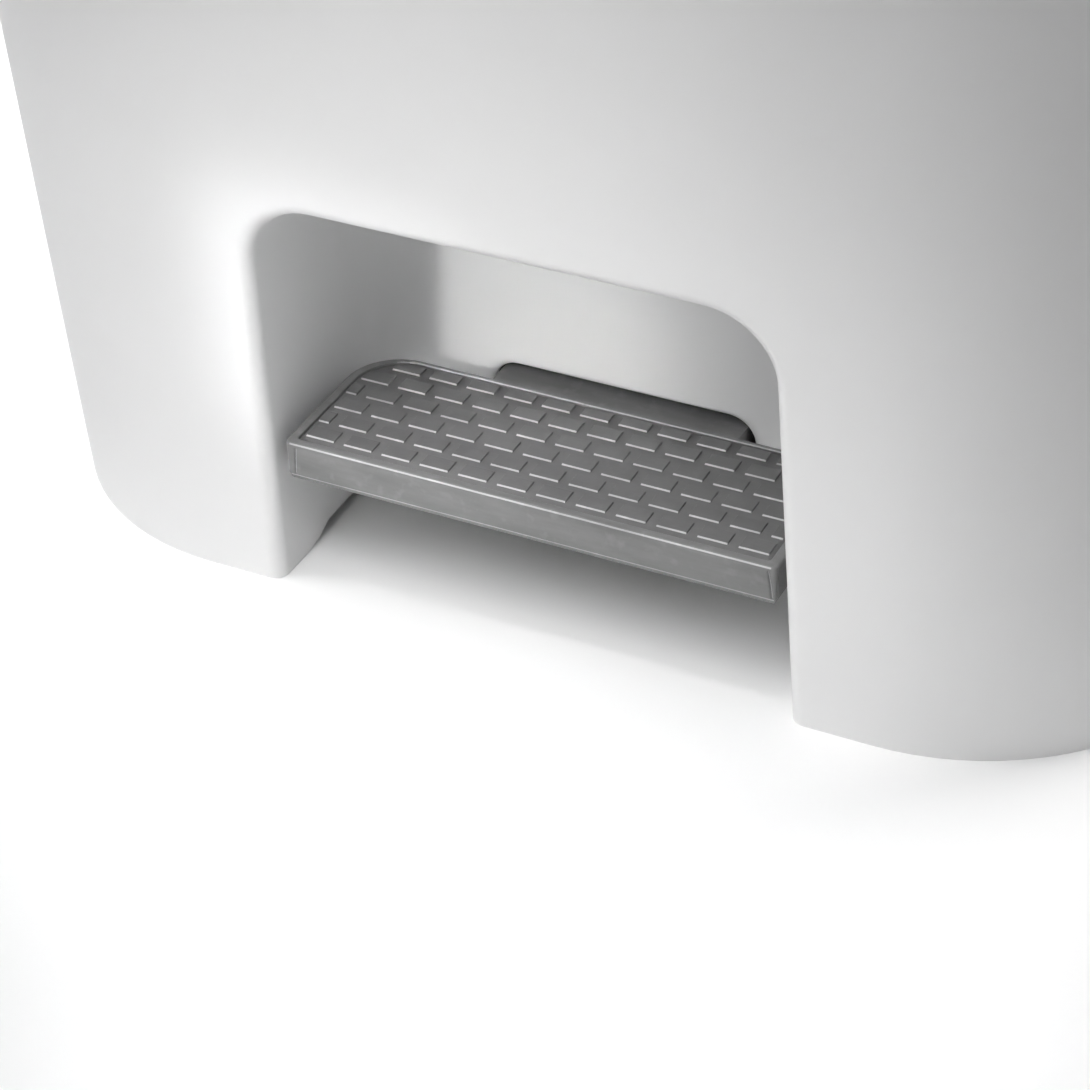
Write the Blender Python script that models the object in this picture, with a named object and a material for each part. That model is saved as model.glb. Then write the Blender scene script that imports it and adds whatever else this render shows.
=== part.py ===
"""Pedal trash can: moulded body with a foot recess, hanging liner, hinged lid and step pedal.

Dimensions below are in millimetres and are turned into metres when a mesh is made.
X is to the right, Y to the back, Z up. The origin is the middle of the footprint on the floor.
"""
import math

import bmesh
import bpy
from mathutils import Vector

MM = 0.001
GAP = 0.3
ROUND_SEGMENTS = 16
SMALL_SEGMENTS = 12

# Body shell: a tapered rounded box, open at the top and the bottom.
BODY_HEIGHT = 545.0
BODY_WALL = 3.0
BASE_HALF_WIDTH = 189.0
BASE_FRONT_Y = -164.2
BASE_REAR_Y = 173.04
SIDE_SLOPE = math.tan(math.radians(1.8))
FRONT_SLOPE = math.tan(math.radians(2.68))
REAR_SLOPE = math.tan(math.radians(0.5))
FRONT_CORNER = 80.0
REAR_CORNER = 60.0
SIDE_ARCH_LIFT = 4.0
SIDE_ARCH_INSET = 80.0

# Foot recess in the front: an arch open at the bottom, with a slot for the pedal arm in its back.
RECESS_HALF_WIDTH = 83.7
RECESS_TOP = 136.2
RECESS_SLOPE = math.tan(math.radians(1.59))
RECESS_CORNER = 21.0
RECESS_EDGE = 4.5
RECESS_BACK_Y = -97.2
RECESS_BACK_CORNER = 25.0
RECESS_FOOT_DEPTH = 20.0
RECESS_FOOT_RAMP = 10.0
SLOT_HALF_WIDTH = 44.7
SLOT_TOP = 50.8
SLOT_CORNER = 9.0
SLOT_EDGE = 2.5
FRONT_PANEL_X = 104.0
FRONT_PANEL_TOP = 152.0

# Linkage: pedal pivot, lift rod and lid hinge all turn about X.
LID_TRAVEL = math.radians(70.0)
HINGE_Y = 186.9
HINGE_Z = 540.0
LEVER_RADIUS = 38.0
LEVER_ANGLE = LID_TRAVEL / 2
ROD_Y = HINGE_Y - LEVER_RADIUS * math.cos(LEVER_ANGLE)
ROD_TOP_Z = HINGE_Z - LEVER_RADIUS * math.sin(LEVER_ANGLE)
ROD_TRAVEL = 2 * LEVER_RADIUS * math.sin(LEVER_ANGLE)
ROD_RADIUS = 2.5
ROD_X = -10.0
ROD_BEND = 5.0
ROD_END_X = 7.5
PIVOT_Y = -38.3
PIVOT_Z = 42.0
ROD_LOW_Z = PIVOT_Z - ROD_TRAVEL / 2

# Pedal.
PEDAL_HALF_WIDTH = 79.0
PEDAL_FRONT_Y = -163.0
PEDAL_DEPTH = 55.1
PEDAL_TOP = 52.3
PEDAL_SKIRT = 12.7
PEDAL_WALL = 1.8
PEDAL_FRONT_CORNER = 2.5
PEDAL_REAR_CORNER = 17.0
PEDAL_REAR_Y = PEDAL_FRONT_Y + PEDAL_DEPTH
ARM_HALF_WIDTH = 41.0
ARM_TOP = 47.4
ARM_WALL = 2.5
ARM_FRONT_Y = -157.0
ARM_REAR_Y = -24.0
ARM_LOW_Z = 33.0
ARM_TREAD_LOW_Z = 41.0
BEAM_END_Y = 165.0
BEAM_FLANGE_END_Y = 146.0
BEAM_HALF_FLANGE = 12.0
WEB_HALF = 2.0
AXLE_RADIUS = 3.0
TREAD_BOSS_RADIUS = 4.5
TREAD_SCREW_SPOTS = [(-28.0, -150.0), (28.0, -150.0), (-28.0, -121.0), (28.0, -121.0)]

# Base plate and what stands on it.
PLATE_LOW_Z = 4.5
PLATE_TOP_Z = 7.5
PLATE_FRONT_Y = -91.0
POST_X = 178.0
POST_HALF = 7.0
POST_TOP_Z = 30.0
POST_YS = (-50.0, 95.0)
PAD_RADIUS = 11.0
PAD_SPOTS = [(-150.0, -70.0), (150.0, -70.0), (-140.0, 138.0), (140.0, 138.0)]
EAR_X = 45.0
EAR_WALL = 2.0
BRACKET_HALF_Y = 20.0
BRACKET_SCREW_SPOTS = [(-30.0, -52.0), (30.0, -52.0), (-30.0, -24.5), (30.0, -24.5)]

# Lift rod guides on the rear wall.
GUIDE_ZS = {"lower": 120.0, "upper": 430.0}
GUIDE_HALF_X = 8.0
GUIDE_HALF_Z = 6.0
GUIDE_FRONT_Y = 148.0

# Hinge at the rear.
HINGE_PLATE_Y = 178.0
HINGE_PLATE_WALL = 2.5
HINGE_PLATE_HALF_X = 84.0
HINGE_PLATE_ZS = (497.0, 530.0)
HINGE_EAR_X = 72.0
HINGE_EAR_WALL = 3.0
HINGE_KNUCKLE = 6.5
HINGE_PIN_RADIUS = 2.5
HINGE_SCREW_XS = (-55.0, -20.0, 20.0, 55.0)
HINGE_SCREW_Z = 513.0

# Liner, hanging by its flange on the body rim.
LINER_WALL = 2.0
LINER_FLOOR_Z = 148.0
FLANGE_LOW_Z = BODY_HEIGHT + GAP
FLANGE_TOP_Z = FLANGE_LOW_Z + 2.5
LINER_TOP_HALF_WIDTH = 198.0
LINER_TOP_FRONT_Y = -181.5
LINER_TOP_REAR_Y = 139.8
LINER_LOW_HALF_WIDTH = 180.0
LINER_LOW_FRONT_Y = -159.0
LINER_LOW_REAR_Y = 129.0
LINER_CORNER = 72.0

# Lid.
LID_OVERHANG = 3.7
LID_WALL = 2.5
LID_SKIRT_Z = 530.0
LID_REAR_SKIRT_Z = 552.0
SKIRT_RAMP_Y = 70.0
SKIRT_RAMP = 70.0
LID_SHOULDER_Z = 566.0
LID_SHOULDER_RADIUS = 24.0
LID_TOP_Z = 600.0
LID_SIDE_STEPS = 8
PANEL_LOW_Z = 551.5
PANEL_TOP_Z = 554.0
ARM_SPOTS_Y = (128.0, 152.0)
LID_ARM_X = 63.0
LID_ARM_HALF = 5.0
LID_ARM_LOW_Z = 548.3
LID_ARM_FRONT_Y = 118.0
BOSS_RADIUS = 5.0
BOSS_TOP_Z = 591.4
BOSS_SPOTS = [(-150.0, -130.0), (150.0, -130.0), (-150.0, 100.0), (150.0, 100.0)]
LEVER_SCREW_YS = (152.5, 170.0)


def clear_scene():
    """Remove every object of the open scene."""
    for item in list(bpy.data.objects):
        bpy.data.objects.remove(item, do_unlink=True)


def make_material(name, color, roughness, metallic=0.0):
    """Return a Principled material."""
    material = bpy.data.materials.new(name)
    material.use_nodes = True
    shader = material.node_tree.nodes["Principled BSDF"]
    shader.inputs["Base Color"].default_value = (*color, 1.0)
    shader.inputs["Roughness"].default_value = roughness
    shader.inputs["Metallic"].default_value = metallic
    return material


def finish_mesh(name, work, smooth_angle=30.0):
    """Turn a bmesh in millimetres into an object in metres with outward faces."""
    bmesh.ops.recalc_face_normals(work, faces=work.faces)
    bmesh.ops.scale(work, vec=(MM, MM, MM), verts=work.verts)
    mesh = bpy.data.meshes.new(name)
    work.to_mesh(mesh)
    work.free()
    mesh.shade_smooth()
    mesh.set_sharp_from_angle(angle=math.radians(smooth_angle))
    item = bpy.data.objects.new(name, mesh)
    bpy.context.collection.objects.link(item)
    return item


def loft(name, rings, smooth_angle=30.0):
    """Bridge closed rings with equal point counts and cap the first and the last."""
    work = bmesh.new()
    loops = [[work.verts.new(point) for point in ring] for ring in rings]
    count = len(rings[0])
    for lower, upper in zip(loops, loops[1:]):
        for i in range(count):
            j = (i + 1) % count
            work.faces.new((lower[i], lower[j], upper[j], upper[i]))
    work.faces.new(list(reversed(loops[0])))
    work.faces.new(loops[-1])
    return finish_mesh(name, work, smooth_angle)


def place(axis, a, b, c):
    """Return the point with coordinate c along axis and (a, b) on the other two axes in order."""
    return {"X": (c, a, b), "Y": (a, c, b), "Z": (a, b, c)}[axis]


def prism(name, outline, axis, start, end):
    """Extrude a flat outline along one axis."""
    rings = [[place(axis, a, b, c) for a, b in outline] for c in (start, end)]
    return loft(name, rings)


def box(name, low, high):
    """Return a box between two corners."""
    outline = [(low[0], low[1]), (high[0], low[1]), (high[0], high[1]), (low[0], high[1])]
    return prism(name, outline, "Z", low[2], high[2])


def circle(radius, a=0.0, b=0.0, segments=ROUND_SEGMENTS):
    """Return the points of a circle in a plane."""
    turns = [2 * math.pi * (i + 0.5) / segments for i in range(segments)]
    return [(a + radius * math.cos(t), b + radius * math.sin(t)) for t in turns]


def arc(center, radius, start, end, segments):
    """Return points along an arc, with angles in degrees."""
    steps = [math.radians(start + (end - start) * i / segments) for i in range(segments + 1)]
    return [(center[0] + radius * math.cos(t), center[1] + radius * math.sin(t)) for t in steps]


def obround(first, second, radius, segments=6):
    """Return a slot outline with round ends at two centres."""
    angle = math.degrees(math.atan2(second[1] - first[1], second[0] - first[0]))
    near = arc(first, radius, angle + 90, angle + 270, segments)
    far = arc(second, radius, angle - 90, angle + 90, segments)
    return near + far


def turned(name, profile, axis, center, segments=SMALL_SEGMENTS):
    """Revolve (radius, height) pairs about an axis through center; the ends are capped."""
    rings = []
    for radius, height in profile:
        ring = circle(radius, center[0], center[1], segments)
        rings.append([place(axis, a, b, height) for a, b in ring])
    return loft(name, rings)


def collar(name, inner, outer, axis, center, start, end, segments=SMALL_SEGMENTS):
    """Return a plain ring."""
    solid = turned(name, [(outer, start), (outer, end)], axis, center, segments)
    hole = turned("hole", [(inner, start - 1), (inner, end + 1)], axis, center, segments)
    return combine(solid, cuts=[hole])


def combine(target, adds=(), cuts=()):
    """Apply Boolean unions and cuts to an object and remove the operands."""
    operands = [(item, "UNION") for item in adds] + [(item, "DIFFERENCE") for item in cuts]
    for operand, operation in operands:
        modifier = target.modifiers.new(operation.title(), "BOOLEAN")
        modifier.operation = operation
        modifier.object = operand
    graph = bpy.context.evaluated_depsgraph_get()
    mesh = bpy.data.meshes.new_from_object(target.evaluated_get(graph))
    target.modifiers.clear()
    target.data = mesh
    for operand, _ in operands:
        bpy.data.objects.remove(operand, do_unlink=True)
    mesh.shade_smooth()
    mesh.set_sharp_from_angle(angle=math.radians(30.0))
    return target


def screw(name, axis, center, seat, way, head_radius, length):
    """Return a pan-head screw: its head stands on the seat and its shank runs along way."""
    head = 2.0
    shank = 1.8
    profile = [
        (head_radius * 0.55, seat - way * head),
        (head_radius, seat - way * head * 0.5),
        (head_radius, seat),
        (shank, seat),
        (shank, seat + way * (length - 1.5)),
        (shank * 0.5, seat + way * length),
    ]
    return turned(name, profile, axis, center)


def screw_hole(axis, center, start, end):
    """Return a cutter for a screw shank."""
    return turned("hole", [(2.2, start), (2.2, end)], axis, center)


def smooth_step(value):
    """Ease from 0 to 1."""
    t = min(max(value, 0.0), 1.0)
    return t * t * (3 - 2 * t)


def front_y(z):
    """Return the front face's Y at a height."""
    return BASE_FRONT_Y - z * FRONT_SLOPE


def rear_y(z):
    """Return the rear face's Y at a height."""
    return BASE_REAR_Y + z * REAR_SLOPE


def corner_points(center, radius, start, segments):
    """Return a quarter turn of points that starts at an angle in degrees."""
    return arc(center, radius, start, start + 90, segments)


def wrap_outline(z, inset):
    """Return the body outline from the front panel's right edge round the back to its left edge."""
    half = BASE_HALF_WIDTH + z * SIDE_SLOPE - inset
    front = front_y(z) + inset
    rear = rear_y(z) - inset
    near = FRONT_CORNER - inset
    far = REAR_CORNER - inset
    right = corner_points((half - near, front + near), near, -90, 8)
    side_start = front + near
    side_end = rear - far
    for step in range(1, 8):
        right.append((half, side_start + (side_end - side_start) * step / 8))
    right += corner_points((half - far, rear - far), far, 0, 6)
    left = [(-x, y) for x, y in reversed(right)]
    return [(FRONT_PANEL_X, front)] + right + [(0.0, rear)] + left + [(-FRONT_PANEL_X, front)]


def side_lift(y):
    """Return how far the lower edge stands off the floor between the corner feet."""
    rise = smooth_step((y - BASE_FRONT_Y - SIDE_ARCH_INSET) / 20)
    fall = smooth_step((BASE_REAR_Y - SIDE_ARCH_INSET + 20 - y) / 20)
    return SIDE_ARCH_LIFT * rise * fall


def recess_lift(y):
    """Return how far the recess wall's lower edge stands off the floor behind the front foot."""
    return SIDE_ARCH_LIFT * smooth_step((y - BASE_FRONT_Y - RECESS_FOOT_DEPTH) / RECESS_FOOT_RAMP)


ARCH_SIDE = 3
ARCH_TURN = 6
ARCH_TOP = 3


def arch_path(half_width, top, corner):
    """Return an arch outline (x, z) from its right foot over the top to its left foot."""
    slope = RECESS_SLOPE
    spring = top - corner
    right = [(half_width - spring * i / ARCH_SIDE * slope, spring * i / ARCH_SIDE) for i in range(ARCH_SIDE)]
    inner = half_width - spring * slope
    right += arc((inner - corner, spring), corner, 0, 90, ARCH_TURN)
    flat = inner - corner
    right += [(flat * (1 - i / ARCH_TOP), top) for i in range(1, ARCH_TOP)]
    left = [(-x, z) for x, z in reversed(right)]
    return right + [(0.0, top)] + left


def panel_path():
    """Return the front panel's rectangular border, with as many points as an arch."""
    half_turn = ARCH_TURN // 2
    rows = ARCH_SIDE + half_turn
    right = [(FRONT_PANEL_X, FRONT_PANEL_TOP * i / rows) for i in range(rows)]
    columns = half_turn + ARCH_TOP
    right += [(FRONT_PANEL_X * (1 - i / columns), FRONT_PANEL_TOP) for i in range(columns)]
    left = [(-x, z) for x, z in reversed(right)]
    return right + [(0.0, FRONT_PANEL_TOP)] + left


def recess_stations(offset):
    """Return the recess's rings as (path, y rule, constant): offset 0 is outside, the wall inside."""
    edge = RECESS_EDGE - offset
    sweep = RECESS_BACK_CORNER + offset
    wide = RECESS_HALF_WIDTH + offset
    high = RECESS_TOP + offset
    stations = []
    for step in range(4):
        turn = math.radians(90 * step / 3)
        grow = edge * (1 - math.sin(turn))
        path = arch_path(wide + grow, high + grow, RECESS_CORNER + offset + grow)
        depth = offset + edge * (1 - math.cos(turn))
        stations.append([(x, front_y(z) + depth, z) for x, z in path])
    for step in range(5):
        turn = math.radians(90 * step / 4)
        shrink = sweep * (1 - math.cos(turn))
        corner = max(RECESS_CORNER + offset - shrink, 5.0)
        path = arch_path(wide - shrink, high - shrink, corner)
        y = RECESS_BACK_Y - RECESS_BACK_CORNER + sweep * math.sin(turn)
        stations.append([(x, y, z) for x, z in path])
    for step in range(4):
        turn = math.radians(90 * step / 3)
        grow = SLOT_EDGE * (1 - math.sin(turn))
        path = arch_path(SLOT_HALF_WIDTH + grow, SLOT_TOP + grow, SLOT_CORNER + grow)
        depth = offset if offset else SLOT_EDGE * (1 - math.cos(turn))
        stations.append([(x, RECESS_BACK_Y + depth, z) for x, z in path])
    return stations


def shell_sheet(offset):
    """Return the points and faces of the body's surface, moved inwards by offset."""
    points = []
    faces = []

    def add(ring):
        start = len(points)
        points.extend(ring)
        return list(range(start, start + len(ring)))

    def bridge(first, second, closed=False):
        last = len(first) if closed else len(first) - 1
        for i in range(last):
            j = (i + 1) % len(first)
            faces.append((first[i], first[j], second[j], second[i]))

    panel = panel_path()
    rows = ARCH_SIDE + ARCH_TURN // 2
    border = add([(x, front_y(z) + offset, z) for x, z in panel])
    wraps = []
    for row in range(rows + 1):
        z = panel[row][1]
        ring = [(x, y, z) for x, y in wrap_outline(z, offset)]
        inner = add(ring[1:-1])
        wraps.append([border[row]] + inner + [border[-1 - row]])
    for lower, upper in zip(wraps, wraps[1:]):
        bridge(lower, upper)
    crown = wraps[-1] + list(reversed(border[rows + 1:-1 - rows]))
    top = BODY_HEIGHT
    rim = [(x, y, top) for x, y in wrap_outline(top, offset)]
    rim += [(x, front_y(top) + offset, top) for x, _ in reversed(panel[rows + 1:-1 - rows])]
    bridge(crown, add(rim), closed=True)
    previous = border
    for station in recess_stations(offset):
        current = add(station)
        bridge(previous, current)
        previous = current
    return points, faces


def lift_lower_edge(points, guide):
    """Raise the floor-level points between the feet, following the outer sheet's plan."""
    lifted = []
    for (x, y, z), (gx, gy, _) in zip(points, guide):
        if z == 0:
            in_recess = abs(gx) < FRONT_PANEL_X
            z = recess_lift(gy) if in_recess else side_lift(gy)
        lifted.append((x, y, z))
    return lifted


def body_surface(name):
    """Return the body's wall as a closed mesh: outer sheet, inner sheet and the edges between."""
    outer, faces = shell_sheet(0.0)
    inner, _ = shell_sheet(BODY_WALL)
    work = bmesh.new()
    outside = [work.verts.new(point) for point in lift_lower_edge(outer, outer)]
    inside = [work.verts.new(point) for point in lift_lower_edge(inner, outer)]
    for face in faces:
        work.faces.new([outside[i] for i in face])
        work.faces.new([inside[i] for i in reversed(face)])
    partner = dict(zip(outside, inside))
    open_edges = [edge for edge in work.edges if edge.is_boundary and edge.verts[0] in partner]
    for edge in open_edges:
        first, second = edge.verts
        work.faces.new((first, second, partner[second], partner[first]))
    return finish_mesh(name, work)


def corner_posts():
    """Return the four square posts that take the base plate's screws."""
    posts = []
    for side in (-1, 1):
        for y in POST_YS:
            xs = sorted((side * (POST_X - POST_HALF), side * (BASE_HALF_WIDTH - 1.4)))
            low = (xs[0], y - POST_HALF, PLATE_TOP_Z + GAP)
            posts.append(box("post", low, (xs[1], y + POST_HALF, POST_TOP_Z)))
    return posts


def make_body_shell():
    """Body: the moulded outer shell with its foot recess, posts and screw holes."""
    shell = body_surface("body_shell")
    holes = []
    for side in (-1, 1):
        for y in POST_YS:
            holes.append(screw_hole("Z", (side * POST_X, y), 2.0, 25.0))
    for z in GUIDE_ZS.values():
        holes.append(screw_hole("Y", (ROD_X, z), rear_y(z) - 6, rear_y(z) + 3))
    for x in HINGE_SCREW_XS:
        holes.append(screw_hole("Y", (x, HINGE_SCREW_Z), rear_y(HINGE_SCREW_Z) - 6, rear_y(HINGE_SCREW_Z) + 3))
    return [combine(shell, adds=corner_posts(), cuts=holes)]


def base_outline():
    """Return the base plate's outline, inside the body's wall."""
    half = BASE_HALF_WIDTH - BODY_WALL - 0.6
    rear = BASE_REAR_Y - BODY_WALL - 0.6
    far = REAR_CORNER - BODY_WALL
    near = 8.0
    right = arc((half - 1.0 - near, PLATE_FRONT_Y + near), near, -90, 0, 3)
    right += corner_points((half - far, rear - far), far, 0, 6)
    return right + [(-x, y) for x, y in reversed(right)]


def make_base():
    """Base plate with its screws and rubber foot pads."""
    plate = prism("base_plate", base_outline(), "Z", PLATE_LOW_Z, PLATE_TOP_Z)
    holes = []
    parts = []
    spots = [(side * POST_X, y) for side in (-1, 1) for y in POST_YS]
    for index, spot in enumerate(spots, 1):
        holes.append(screw_hole("Z", spot, PLATE_LOW_Z - 1, PLATE_TOP_Z + 1))
        parts.append(screw(f"base_screw_{index}", "Z", spot, PLATE_LOW_Z - GAP, 1, 3.8, 19.0))
    for spot in BRACKET_SCREW_SPOTS:
        holes.append(screw_hole("Z", spot, PLATE_LOW_Z - 1, PLATE_TOP_Z + 1))
    parts.append(combine(plate, cuts=holes))
    for index, spot in enumerate(PAD_SPOTS, 1):
        top = PLATE_LOW_Z - GAP
        profile = [(PAD_RADIUS - 1, 0.0), (PAD_RADIUS, 1.0), (PAD_RADIUS, top)]
        parts.append(turned(f"foot_pad_{index}", profile, "Z", spot, ROUND_SEGMENTS))
    return parts


def ear_outline():
    """Return a pivot ear's outline (y, z): a foot that narrows to a round end about the axle."""
    top = arc((PIVOT_Y, PIVOT_Z), 10.0, 0, 180, 8)
    foot = PLATE_TOP_Z + GAP
    return [(PIVOT_Y - BRACKET_HALF_Y, foot), (PIVOT_Y + BRACKET_HALF_Y, foot)] + top


def make_pivot():
    """Pedal pivot: a U bracket on the base plate, its screws, the axle and its clips."""
    foot = PLATE_TOP_Z + GAP
    low = (-EAR_X - EAR_WALL, PIVOT_Y - BRACKET_HALF_Y, foot)
    high = (EAR_X + EAR_WALL, PIVOT_Y + BRACKET_HALF_Y, foot + EAR_WALL)
    floor = box("pivot_bracket", low, high)
    ears = [prism("ear", ear_outline(), "X", *sorted((s * EAR_X, s * (EAR_X + EAR_WALL)))) for s in (-1, 1)]
    bore = AXLE_RADIUS + GAP
    center = (PIVOT_Y, PIVOT_Z)
    holes = [turned("hole", [(bore, -60.0), (bore, 60.0)], "X", center)]
    parts = []
    for index, spot in enumerate(BRACKET_SCREW_SPOTS, 1):
        holes.append(screw_hole("Z", spot, foot - 1, foot + EAR_WALL + 1))
        seat = foot + EAR_WALL + GAP
        parts.append(screw(f"bracket_screw_{index}", "Z", spot, seat, -1, 3.6, 7.0))
    parts.append(combine(floor, adds=ears, cuts=holes))
    reach = EAR_X + EAR_WALL + 4.0
    profile = [(AXLE_RADIUS - 0.5, -reach), (AXLE_RADIUS, 0.5 - reach), (AXLE_RADIUS, reach - 0.5),
               (AXLE_RADIUS - 0.5, reach)]
    parts.append(turned("pedal_axle", profile, "X", center))
    for side, word in ((-1, "left"), (1, "right")):
        start, end = sorted((side * (EAR_X + EAR_WALL + GAP), side * (EAR_X + EAR_WALL + 1.8)))
        parts.append(collar(f"axle_clip_{word}", bore, 6.5, "X", center, start, end))
    return parts


def make_rod_guides():
    """Guides that keep the lift rod upright on the rear wall, and their screws."""
    parts = []
    for word, z in GUIDE_ZS.items():
        back = rear_y(z) - BODY_WALL - GAP - 0.1
        low = (ROD_X - GUIDE_HALF_X, GUIDE_FRONT_Y, z - GUIDE_HALF_Z)
        block = box(f"rod_guide_{word}", low, (ROD_X + GUIDE_HALF_X, back, z + GUIDE_HALF_Z))
        bore = turned("hole", [(ROD_RADIUS + GAP, z - 20), (ROD_RADIUS + GAP, z + 20)], "Z", (ROD_X, ROD_Y))
        thread = screw_hole("Y", (ROD_X, z), ROD_Y + 6.0, back + 1)
        parts.append(combine(block, cuts=[bore, thread]))
        seat = rear_y(z) + GAP + 0.1
        parts.append(screw(f"guide_screw_{word}", "Y", (ROD_X, z), seat, -1, 3.8, 10.5))
    return parts


def make_hinge():
    """Rear hinge bracket with its screws, pin and end caps."""
    low = (-HINGE_PLATE_HALF_X, HINGE_PLATE_Y, HINGE_PLATE_ZS[0])
    high = (HINGE_PLATE_HALF_X, HINGE_PLATE_Y + HINGE_PLATE_WALL, HINGE_PLATE_ZS[1])
    plate = box("hinge_bracket", low, high)
    center = (HINGE_Y, HINGE_Z)
    outline = [(HINGE_PLATE_Y, 505.0), (HINGE_PLATE_Y + 4.0, 505.0)]
    outline += arc(center, HINGE_KNUCKLE, -20, 180, 8) + [(HINGE_PLATE_Y, 532.0)]
    ears = []
    for side in (-1, 1):
        start, end = sorted((side * HINGE_EAR_X, side * (HINGE_EAR_X + HINGE_EAR_WALL)))
        ears.append(prism("ear", outline, "X", start, end))
    bore = HINGE_PIN_RADIUS + GAP
    holes = [turned("hole", [(bore, -90.0), (bore, 90.0)], "X", center)]
    parts = []
    for index, x in enumerate(HINGE_SCREW_XS, 1):
        spot = (x, HINGE_SCREW_Z)
        holes.append(screw_hole("Y", spot, HINGE_PLATE_Y - 1, HINGE_PLATE_Y + HINGE_PLATE_WALL + 1))
        seat = HINGE_PLATE_Y + HINGE_PLATE_WALL + GAP
        parts.append(screw(f"hinge_screw_{index}", "Y", spot, seat, -1, 3.8, 9.5))
    parts.append(combine(plate, adds=ears, cuts=holes))
    reach = HINGE_EAR_X + HINGE_EAR_WALL + 4.0
    pin = [(HINGE_PIN_RADIUS, -reach), (HINGE_PIN_RADIUS, reach)]
    parts.append(turned("hinge_pin", pin, "X", center))
    for side, word in ((-1, "left"), (1, "right")):
        start, end = sorted((side * (HINGE_EAR_X + HINGE_EAR_WALL + GAP), side * (reach - 0.2)))
        parts.append(collar(f"pin_cap_{word}", bore, 5.2, "X", center, start, end))
    return parts


def rounded_plan(half_width, front, rear, near, far, inset=0.0, side_steps=1):
    """Return a rounded rectangle with its own front and rear corner radii."""
    half_width -= inset
    front += inset
    rear -= inset
    near = max(near - inset, 1.0)
    far = max(far - inset, 1.0)
    right = corner_points((half_width - near, front + near), near, -90, 8)
    length = rear - far - front - near
    right += [(half_width, front + near + length * i / side_steps) for i in range(1, side_steps)]
    right += corner_points((half_width - far, rear - far), far, 0, 8)
    return right + [(-x, y) for x, y in reversed(right)]


def at_height(plan, z):
    """Lift a flat outline to a height."""
    return [(x, y, z) for x, y in plan]


def rim_plan(inset, side_steps=1):
    """Return the outline of the body's top rim."""
    half = BASE_HALF_WIDTH + BODY_HEIGHT * SIDE_SLOPE
    front = front_y(BODY_HEIGHT)
    rear = rear_y(BODY_HEIGHT)
    return rounded_plan(half, front, rear, FRONT_CORNER, REAR_CORNER, inset, side_steps)


def liner_plan(share, inset):
    """Return the liner's outer outline at a share of its height, moved inwards by inset."""
    half = LINER_LOW_HALF_WIDTH + (LINER_TOP_HALF_WIDTH - LINER_LOW_HALF_WIDTH) * share
    front = LINER_LOW_FRONT_Y + (LINER_TOP_FRONT_Y - LINER_LOW_FRONT_Y) * share
    rear = LINER_LOW_REAR_Y + (LINER_TOP_REAR_Y - LINER_LOW_REAR_Y) * share
    return rounded_plan(half, front, rear, LINER_CORNER, LINER_CORNER * 0.7, inset)


def make_liner():
    """Inner liner: a tapered bucket that hangs by its flange, notched for the lid lever."""
    rings = [
        at_height(liner_plan(0.0, 8.0), LINER_FLOOR_Z),
        at_height(liner_plan(0.0, 0.0), LINER_FLOOR_Z + 8.0),
        at_height(liner_plan(1.0, 0.0), FLANGE_LOW_Z),
        at_height(rim_plan(0.6), FLANGE_LOW_Z),
        at_height(rim_plan(0.6), FLANGE_TOP_Z),
        at_height(liner_plan(1.0, LINER_WALL), FLANGE_TOP_Z),
        at_height(liner_plan(0.0, LINER_WALL), LINER_FLOOR_Z + 8.0),
        at_height(liner_plan(0.0, LINER_WALL + 7.0), LINER_FLOOR_Z + LINER_WALL),
    ]
    liner = loft("inner_liner", rings)
    notch = box("notch", (-22.0, 140.3, 540.0), (16.0, 173.6, 552.0))
    return [combine(liner, cuts=[notch])]


def tread_plan(inset):
    """Return the pedal tread's outline."""
    near = max(PEDAL_FRONT_CORNER - inset, 0.6)
    far = PEDAL_REAR_CORNER
    return rounded_plan(PEDAL_HALF_WIDTH, PEDAL_FRONT_Y, PEDAL_REAR_Y, near + inset, far, inset)


def make_tread():
    """Pedal tread: a shallow cap with bosses beneath and a notch for the arm in its rear skirt."""
    low = PEDAL_TOP - PEDAL_SKIRT
    under = PEDAL_TOP - 2.0
    rings = [
        at_height(tread_plan(PEDAL_WALL), under),
        at_height(tread_plan(PEDAL_WALL), low),
        at_height(tread_plan(0.0), low),
        at_height(tread_plan(0.0), PEDAL_TOP - 0.6),
        at_height(tread_plan(0.6), PEDAL_TOP),
    ]
    tread = loft("pedal_tread", rings)
    bosses = []
    holes = []
    for spot in TREAD_SCREW_SPOTS:
        boss = [(TREAD_BOSS_RADIUS, ARM_TOP + GAP), (TREAD_BOSS_RADIUS, PEDAL_TOP - 1.0)]
        bosses.append(turned("boss", boss, "Z", spot))
        holes.append(screw_hole("Z", spot, ARM_TOP - 1, PEDAL_TOP - 0.9))
    reach = ARM_HALF_WIDTH + 0.8
    holes.append(box("notch", (-reach, PEDAL_REAR_Y - 4, low - 1), (reach, PEDAL_REAR_Y + 1, ARM_TOP + 0.8)))
    return [combine(tread, adds=bosses, cuts=holes)]


def beam_slope_z(y, top):
    """Return the height of the rear beam's line at y, for its top line or its lower line."""
    start, end = (ARM_TOP, ROD_LOW_Z + 6.6) if top else (ARM_LOW_Z + 1.0, ROD_LOW_Z - 6.6)
    share = (y - ARM_REAR_Y) / (BEAM_END_Y - ARM_REAR_Y)
    return start + (end - start) * share


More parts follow.
